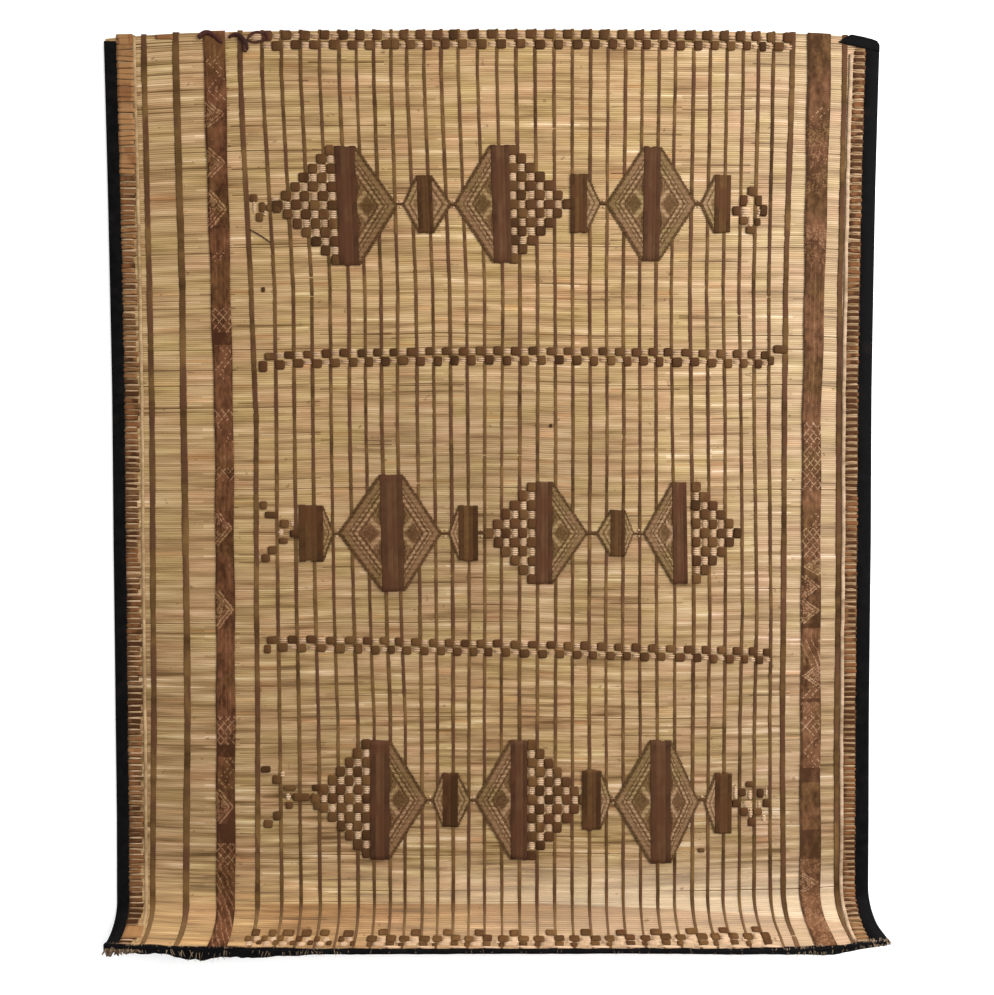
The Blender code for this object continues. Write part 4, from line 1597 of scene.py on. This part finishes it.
# Larger patches of the left lacing: x, run, width, length, thickness, tone
lacingPatches = (
    (-0.7155, -0.893, 0.026, 0.036, 0.0026, 0.9),
    (-0.7180, 0.883, 0.013, 0.028, 0.0026, 0.9),
    (-0.6410, 0.891, 0.008, 0.034, 0.0022, 0.8),
)


def curlWider(sign, run):
    return edges["curlWider"] * smoothStep(*edges["curlSpan"], -run) if sign > 0 else 0.0 * run


def layLacing(sign, name, replaced):
    work = lacing[sign]
    stitches, seams, gaps = [], [], []
    run = stitching["start"] - mat["lowerRun"]
    drift = 0.0
    while run < mat["topEnd"] - work["short"] - 0.006:
        step = chance.uniform(*work["step"]) * (1.0 - work["closer"] * (0.9 - run) / 1.8)
        drift = 0.75 * drift + 0.25 * chance.uniform(-1, 1)
        wide = work["upper" if run > stitching["upperRun"] else "width"]
        outer = float(halfWidth(run, sign) - curlWider(sign, run)) - edges["binding"][sign]
        outer = outer + stitching["under"]
        inner = outer - wide - stitching["under"] + work["uneven"] * chance.uniform(-1, 1)
        x, length = sign * (outer + inner) / 2.0, outer - inner
        turn = math.pi / 2.0 + work["slant"] * chance.uniform(-1, 1)
        tall = step * chance.uniform(*work["share"])
        tone = work["tone"] + 1.1 * drift + 0.3 * chance.uniform(-1, 1)
        seam = -0.1 + 0.3 * drift
        if sign < 0 and run > stitching["fadedRun"]:
            tone = stitching["fadedTone"] + 0.2 * chance.uniform(-1, 1)
            seam = stitching["fadedSeam"]
            tall = step * chance.uniform(*stitching["fadedShare"])
        if sign > 0:
            tone += stitching["paler"] * float(smoothStep(*stitching["palerSpan"], -run))
        thick = chance.uniform(*stitching["thick"])
        stitches.append((x, run, tall, length, turn, stitching["base"], thick, tone))
        width = chance.uniform(*stitching["seamWide"])
        below = run - tall / 2.0 - 0.0002
        seams.append((x, below, width, length - 0.001, turn, stitching["seamBase"], thick, seam))
        gap = step - tall
        ends = 2 if sign > 0 and gap > stitching["twoEnds"] else 1
        radius = min(gap * 0.46 / ends, 0.0022)
        for number in range(ends):
            at = run + step / 2.0 - 0.0004 + gap * (number + 0.5 - ends / 2.0) / ends
            endTone = chance.uniform(*work["endTone"])
            gaps.append((x, at, length - 0.002, radius, stitching["endBase"], endTone))
        run += step
    if sign < 0:
        for x, run, width, length, thick, tone in lacingPatches:
            stitches.append((x, run, width, length, math.pi / 2.0, stitching["base"], thick, tone))
    layPads(name, slabMaster(6, 0.2), stitches, rustLeather, "rust_leather", replaced)
    layPads(name + "Thread", slabMaster(6, 0.2), seams, squareLeather, "brown_leather")
    layReeds(name + "Stalks", reedMaster(5, 4), gaps, edgeStalks, "straw")


def layCord(sign, inset, width, tall, short, name, replaced):
    # two strands twisted together and laid beside the lacing
    low = float(lowerEnd(sign * 0.70)) + edges["cordShort"]
    high = float(topEnd(sign * 0.70)) + 0.0006 - short
    run = np.arange(low, high, edges["cordStep"])[:, None]
    sides = 8
    angle = (np.arange(sides) / sides * 2.0 * math.pi)[None]
    strands = np.cos(2.0 * (angle - run / edges["cordTwist"] * math.pi))
    lump = 1.0 + 0.16 * strands
    centre = sign * (halfWidth(run, sign) - curlWider(sign, run) - inset)
    centre = centre + 0.0007 * easedLine(60, len(run))[:, None]
    x = centre + np.cos(angle) * width / 2.0 * lump
    height = edges["cordBase"] + tall / 2.0 + np.sin(angle) * tall / 2.0 * lump
    worn = easedLine(40, len(run)) + easedLine(260, len(run))
    tone = 0.45 + 0.15 * strands + 0.4 * worn[:, None]
    finish = grassCord if sign < 0 else paleCord
    layLoft(name, place(x, run + 0.0 * x, height), finish, "grass_cord", replaced, tone=tone)


def sectionRings(section, rings):
    # rings of insets and heights, from the two of each corner of a section: a number, or a column that
    # has one for each ring
    column = np.zeros((rings, 1))
    return [np.concatenate([part + column for part in parts], axis=1) for parts in zip(*section)]


def layBinding(sign, name, replaced):
    # leather folded round a side: one skin from the underside over the rim to the face and back inside
    rings = 420
    width = edges["binding"][sign]
    share = np.linspace(0.0, 1.0, rings)[:, None]
    wave = easedNoise(2, 46, rings)[:, :, None]
    fine = easedNoise(2, 150, rings)[:, :, None]
    cut = edges["cornerCut"] if sign > 0 else 0.0
    low, high = float(lowerEnd(0.75)) + 0.0006, float(topEnd(0.75)) + 0.0010
    face = width + 0.0010 * wave[0] + 0.0004 * fine[0] + curlWider(sign, low + (high - low) * share)
    puff = 0.0005 * wave[1] + 0.0003 * fine[1]
    inset, height = sectionRings((
        (face, 0.0001), (0.0060, 0.0), (0.0012, 0.0004), (-0.0003, 0.0018), (-0.0005, 0.0040),
        (0.0004, 0.0058), (0.0030, 0.0067), (face * 0.5, 0.0064 + puff), (face - 0.0012, 0.0062 + puff * 0.5),
        (face, 0.0056), (face - 0.0010, 0.0049), (0.0030, 0.0046), (0.0030, 0.0012), (face - 0.0010, 0.0011),
    ), rings)
    run = low + (high - low - cut * np.clip(1.0 - inset / width, 0.0, 1.0)) * share
    x = sign * (halfWidth(run, sign) - inset)
    layLoft(name, place(x, run, height), blackLeather, "black_leather", replaced)


# How far the roll under the curled end stands out, in millimetres: x, depth. The roll is the black end
# binding, made deeper where its black also stands in for the shaded underside seen past the rim, as painted
# shade
endRoll = (
    (-765, 4), (-700, 7), (-632, 6), (-606, 15), (-560, 18), (-500, 11), (-420, 5), (-290, 1.5),
    (0, 0.5), (520, 0.5), (590, 5), (640, 9), (672, 8), (705, 3), (765, 1),
)


def rollDepth(x):
    places, depths = np.array(endRoll).T
    return np.interp(x, places * millimetre, depths * millimetre)


def layEndBinding():
    # leather folded round the curled end, uneven along its length
    sections = 300
    x = np.linspace(-1.0, 1.0, sections)[:, None] * float(halfWidth(-mat["lowerRun"]) + 0.0004)
    wave = easedNoise(3, 60, sections)[:, :, None]
    fine = easedNoise(3, 150, sections)[:, :, None]
    reach = 0.0040 + 0.0026 * smoothStep(0.35, 0.55, np.abs(x)) + 0.0018 * wave[0] + 0.0008 * fine[0]
    puff = 0.0004 + 0.0005 * wave[1] + 0.0004 * fine[1]
    rim = 0.0012 + 0.0006 * wave[2] + 0.0004 * fine[2]
    roll = rollDepth(x) * (1.0 + 0.25 * wave[1] + 0.15 * fine[0])
    inset, height = sectionRings((
        (roll * 1.6 + 0.006, -0.0006), (roll * 1.2 + 0.004, -0.0010 - puff - roll * 0.75),
        (0.001, -0.0011 - puff - roll), (-rim, -0.0006 - roll * 0.8), (-rim, 0.0050),
        (-rim * 0.6, 0.0066 + puff), (0.0025, 0.0070 + puff), (reach, 0.0070), (reach, 0.0062),
        (0.0018, 0.0060), (0.0018, -0.0002), (roll * 1.6 + 0.006, -0.0003),
    ), sections)
    run = lowerEnd(x) + inset
    layLoft("endBinding", place(x + 0.0 * inset, run, height), blackLeather, "black_leather", "end_binding")


# The turned-in end of the right binding, in millimetres: x, its upper and its lower edge
foldShape = (
    (682, 882.5, 881.0), (694, 891.5, 877.5), (706, 896.5, 874.5), (730, 892.0, 870.0),
    (746, 888.0, 866.0), (757, 884.0, 862.0), (761, 877.0, 862.0),
)
# Its section: place between those edges, and height
foldSection = (
    (0.0, 0.0066), (0.06, 0.0076), (0.5, 0.0080), (0.92, 0.0076), (1.0, 0.0064), (1.0, 0.0030),
    (0.96, 0.0054), (0.04, 0.0056),
)


def layCornerFold():
    rings = 48
    places, upper, lower = np.array(foldShape).T * millimetre
    x = np.linspace(places[0], places[-1], rings)[:, None]
    top, low = np.interp(x, places, upper), np.interp(x, places, lower)
    low = low + 0.0006 * easedLine(14, rings)[:, None]
    share, height = sectionRings(foldSection, rings)
    points = place(x + 0.0 * share, low + (top - low) * share, height)
    layLoft("cornerFold", points, blackLeather, "black_leather", "corner_fold")


# Leather knots at the left of the top end, and a loose thread: tone, then x, run, height and radius
# in millimetres
knots = (
    (0.50, ((-573, 888, 8, 4.0), (-563, 902, 8, 5.0), (-546, 904, 9, 4.8), (-539, 886, 9, 4.2),
            (-527, 879, 7, 2.6))),
    (0.05, ((-514, 889, 7, 2.4), (-502, 902, 8, 3.8), (-486, 893, 9, 5.4), (-480, 878, 9, 6.0),
            (-479, 866, 8, 3.6))),
    (0.75, ((-484, 878, 9, 2.4), (-483, 870, 9, 4.6), (-482, 862, 8, 3.6))),
    (0.55, ((-477, 886, 7, 2.0), (-474, 903, 7, 2.6), (-446, 905, 7, 2.8), (-441, 890, 7, 2.4))),
    (0.50, ((-478, 886, 7, 1.8), (-462, 874, 7, 2.0), (-442, 889, 7, 2.4))),
    (0.40, ((-444, 900, 7, 2.0), (-438, 896, 8, 4.6), (-438, 884, 7, 2.0))),
    (0.10, ((-478, 518, 6, 0.8), (-456, 507, 6.5, 1.5), (-436, 492, 6, 0.8))),
)


def layKnots():
    paths = [(tone, np.array(stops) * millimetre) for tone, stops in knots]
    layTubes("topKnots", 8, 14, paths, knotLeather, "brown_leather")


# Loose fibres along the curled end: from and to in metres, how many, how long, and their tones
frays = (
    (-0.760, -0.690, 26, 0.012, (0.00, 0.30)),
    (-0.700, -0.600, 16, 0.016, (0.10, 0.60)),
    (-0.615, -0.300, 80, 0.020, (0.00, 0.60)),
    (-0.300, 0.540, 46, 0.010, (0.10, 0.60)),
    (0.540, 0.700, 34, 0.018, (0.30, 0.90)),
    (0.700, 0.768, 40, 0.021, (0.30, 0.95)),
)
# The tuft at the left corner: thick fibres side by side, shorter from the corner inwards
tuft = {
    "count": 30,
    "from": -0.758,
    "step": 0.0024,
    "drop": 0.019,
    "shorter": 0.0005,
    "tones": (-0.5, 0.35),
}


def layFrays():
    paths = []
    for low, high, count, length, tones in frays:
        for _ in range(count):
            x = chance.uniform(low, high)
            slack = chance.uniform(0.3, 1.0) * length
            across = 1.4 * slack * chance.uniform(-1, 1)
            end = float(lowerEnd(x))
            roll = float(rollDepth(x + across))
            radius = chance.uniform(0.00025, 0.00055)
            tone = chance.uniform(*tones)
            start = end + chance.uniform(0.002, 0.010)
            tip = end + chance.uniform(-0.002, 0.008)
            fall = -0.002 - roll - 0.3 * slack * chance.uniform(0, 1)
            paths.append((tone, (
                (x, start, 0.0078, radius),
                (x + across * 0.3, end - 0.002, 0.0085, radius),
                (x + across * 0.7, end - 0.004, -0.001 - roll * 0.6, radius),
                (x + across, tip, fall, radius * 0.5))))
    for number in range(tuft["count"]):
        x = tuft["from"] + tuft["step"] * number
        end = float(lowerEnd(x))
        drop = (tuft["drop"] - tuft["shorter"] * number) * chance.uniform(0.75, 1.05)
        lean = 0.008 * chance.uniform(-1, 1)
        paths.append((chance.uniform(*tuft["tones"]), (
            (x - lean, end + 0.003, 0.004, 0.0014),
            (x, end - 0.004, -0.003, 0.0030),
            (x + lean, end, -drop, 0.0012))))
    layTubes("frayedEnd", 5, 7, paths, fibres, "straw")


def layEdges():
    for sign, side in ((-1, "Left"), (1, "Right")):
        layLacing(sign, "lacing" + side, "laced_edge_" + side.lower())
    for cord, side in zip(edges["cords"], ("Left", "Right")):
        layCord(*cord, "edgeCord" + side, "edge_cord_" + side.lower())
    for sign, side in ((-1, "Left"), (1, "Right")):
        layBinding(sign, "sideBinding" + side, "side_binding_" + side.lower())
    layEndBinding()
    layCornerFold()
    layKnots()
    layFrays()


core = layCore()
layStalks()
layAllStrips()
print("stalks and strips laid")
layFigures()
print("figures and squares laid")
layBand("woven_band_left", "wovenBandLeft")
layBand("woven_band_right", "wovenBandRight")
print("bands laid")
layEdges()
print("edges laid")


# Light, floor and world

studio = {
    "floor": (0.90, 0.90, 0.90, 1.0),
    "floorGlow": 0.36,
    "world": 0.61,
    # power, size, place, what it points at, spread in degrees
    "keyLight": (140.0, (2.2, 2.2), (2.3, 1.1, 2.2), (0.1, 0.0, 0.0), 180.0),
    "curlLight": (1.3, (2.4, 0.3), (0.2, 0.9, 0.35), (0.0, -0.95, 0.05), 20.0),
}


def addLight(name):
    power, size, spot, target, spread = studio[name]
    data = bpy.data.lights.new(name, "AREA")
    data.shape = "RECTANGLE"
    data.size, data.size_y = size
    data.energy = power
    data.spread = math.radians(spread)
    lamp = bpy.data.objects.new(name, data)
    scene.collection.objects.link(lamp)
    lamp.location = spot
    lamp.rotation_euler = (Vector(target) - Vector(spot)).to_track_quat("-Z", "Y").to_euler()


def addSurroundings():
    white = (1.0, 1.0, 1.0, 1.0)
    bpy.ops.mesh.primitive_plane_add(size=30.0, location=(0, 0, -0.0002))
    floor = bpy.context.active_object
    floor.name = "floor"
    finish = Finish("floorWhite", 0.9, Specular_IOR_Level=0.1, Emission_Strength=studio["floorGlow"])
    finish.set("Base Color", studio["floor"])
    finish.set("Emission Color", white)
    floor.data.materials.append(finish.material)
    world = bpy.data.worlds.new("studio")
    world.use_nodes = True
    light = world.node_tree.nodes["Background"].inputs
    light["Color"].default_value = white
    light["Strength"].default_value = studio["world"]
    scene.world = world
    addLight("keyLight")
    addLight("curlLight")
    scene.view_settings.view_transform = "Standard"


addSurroundings()
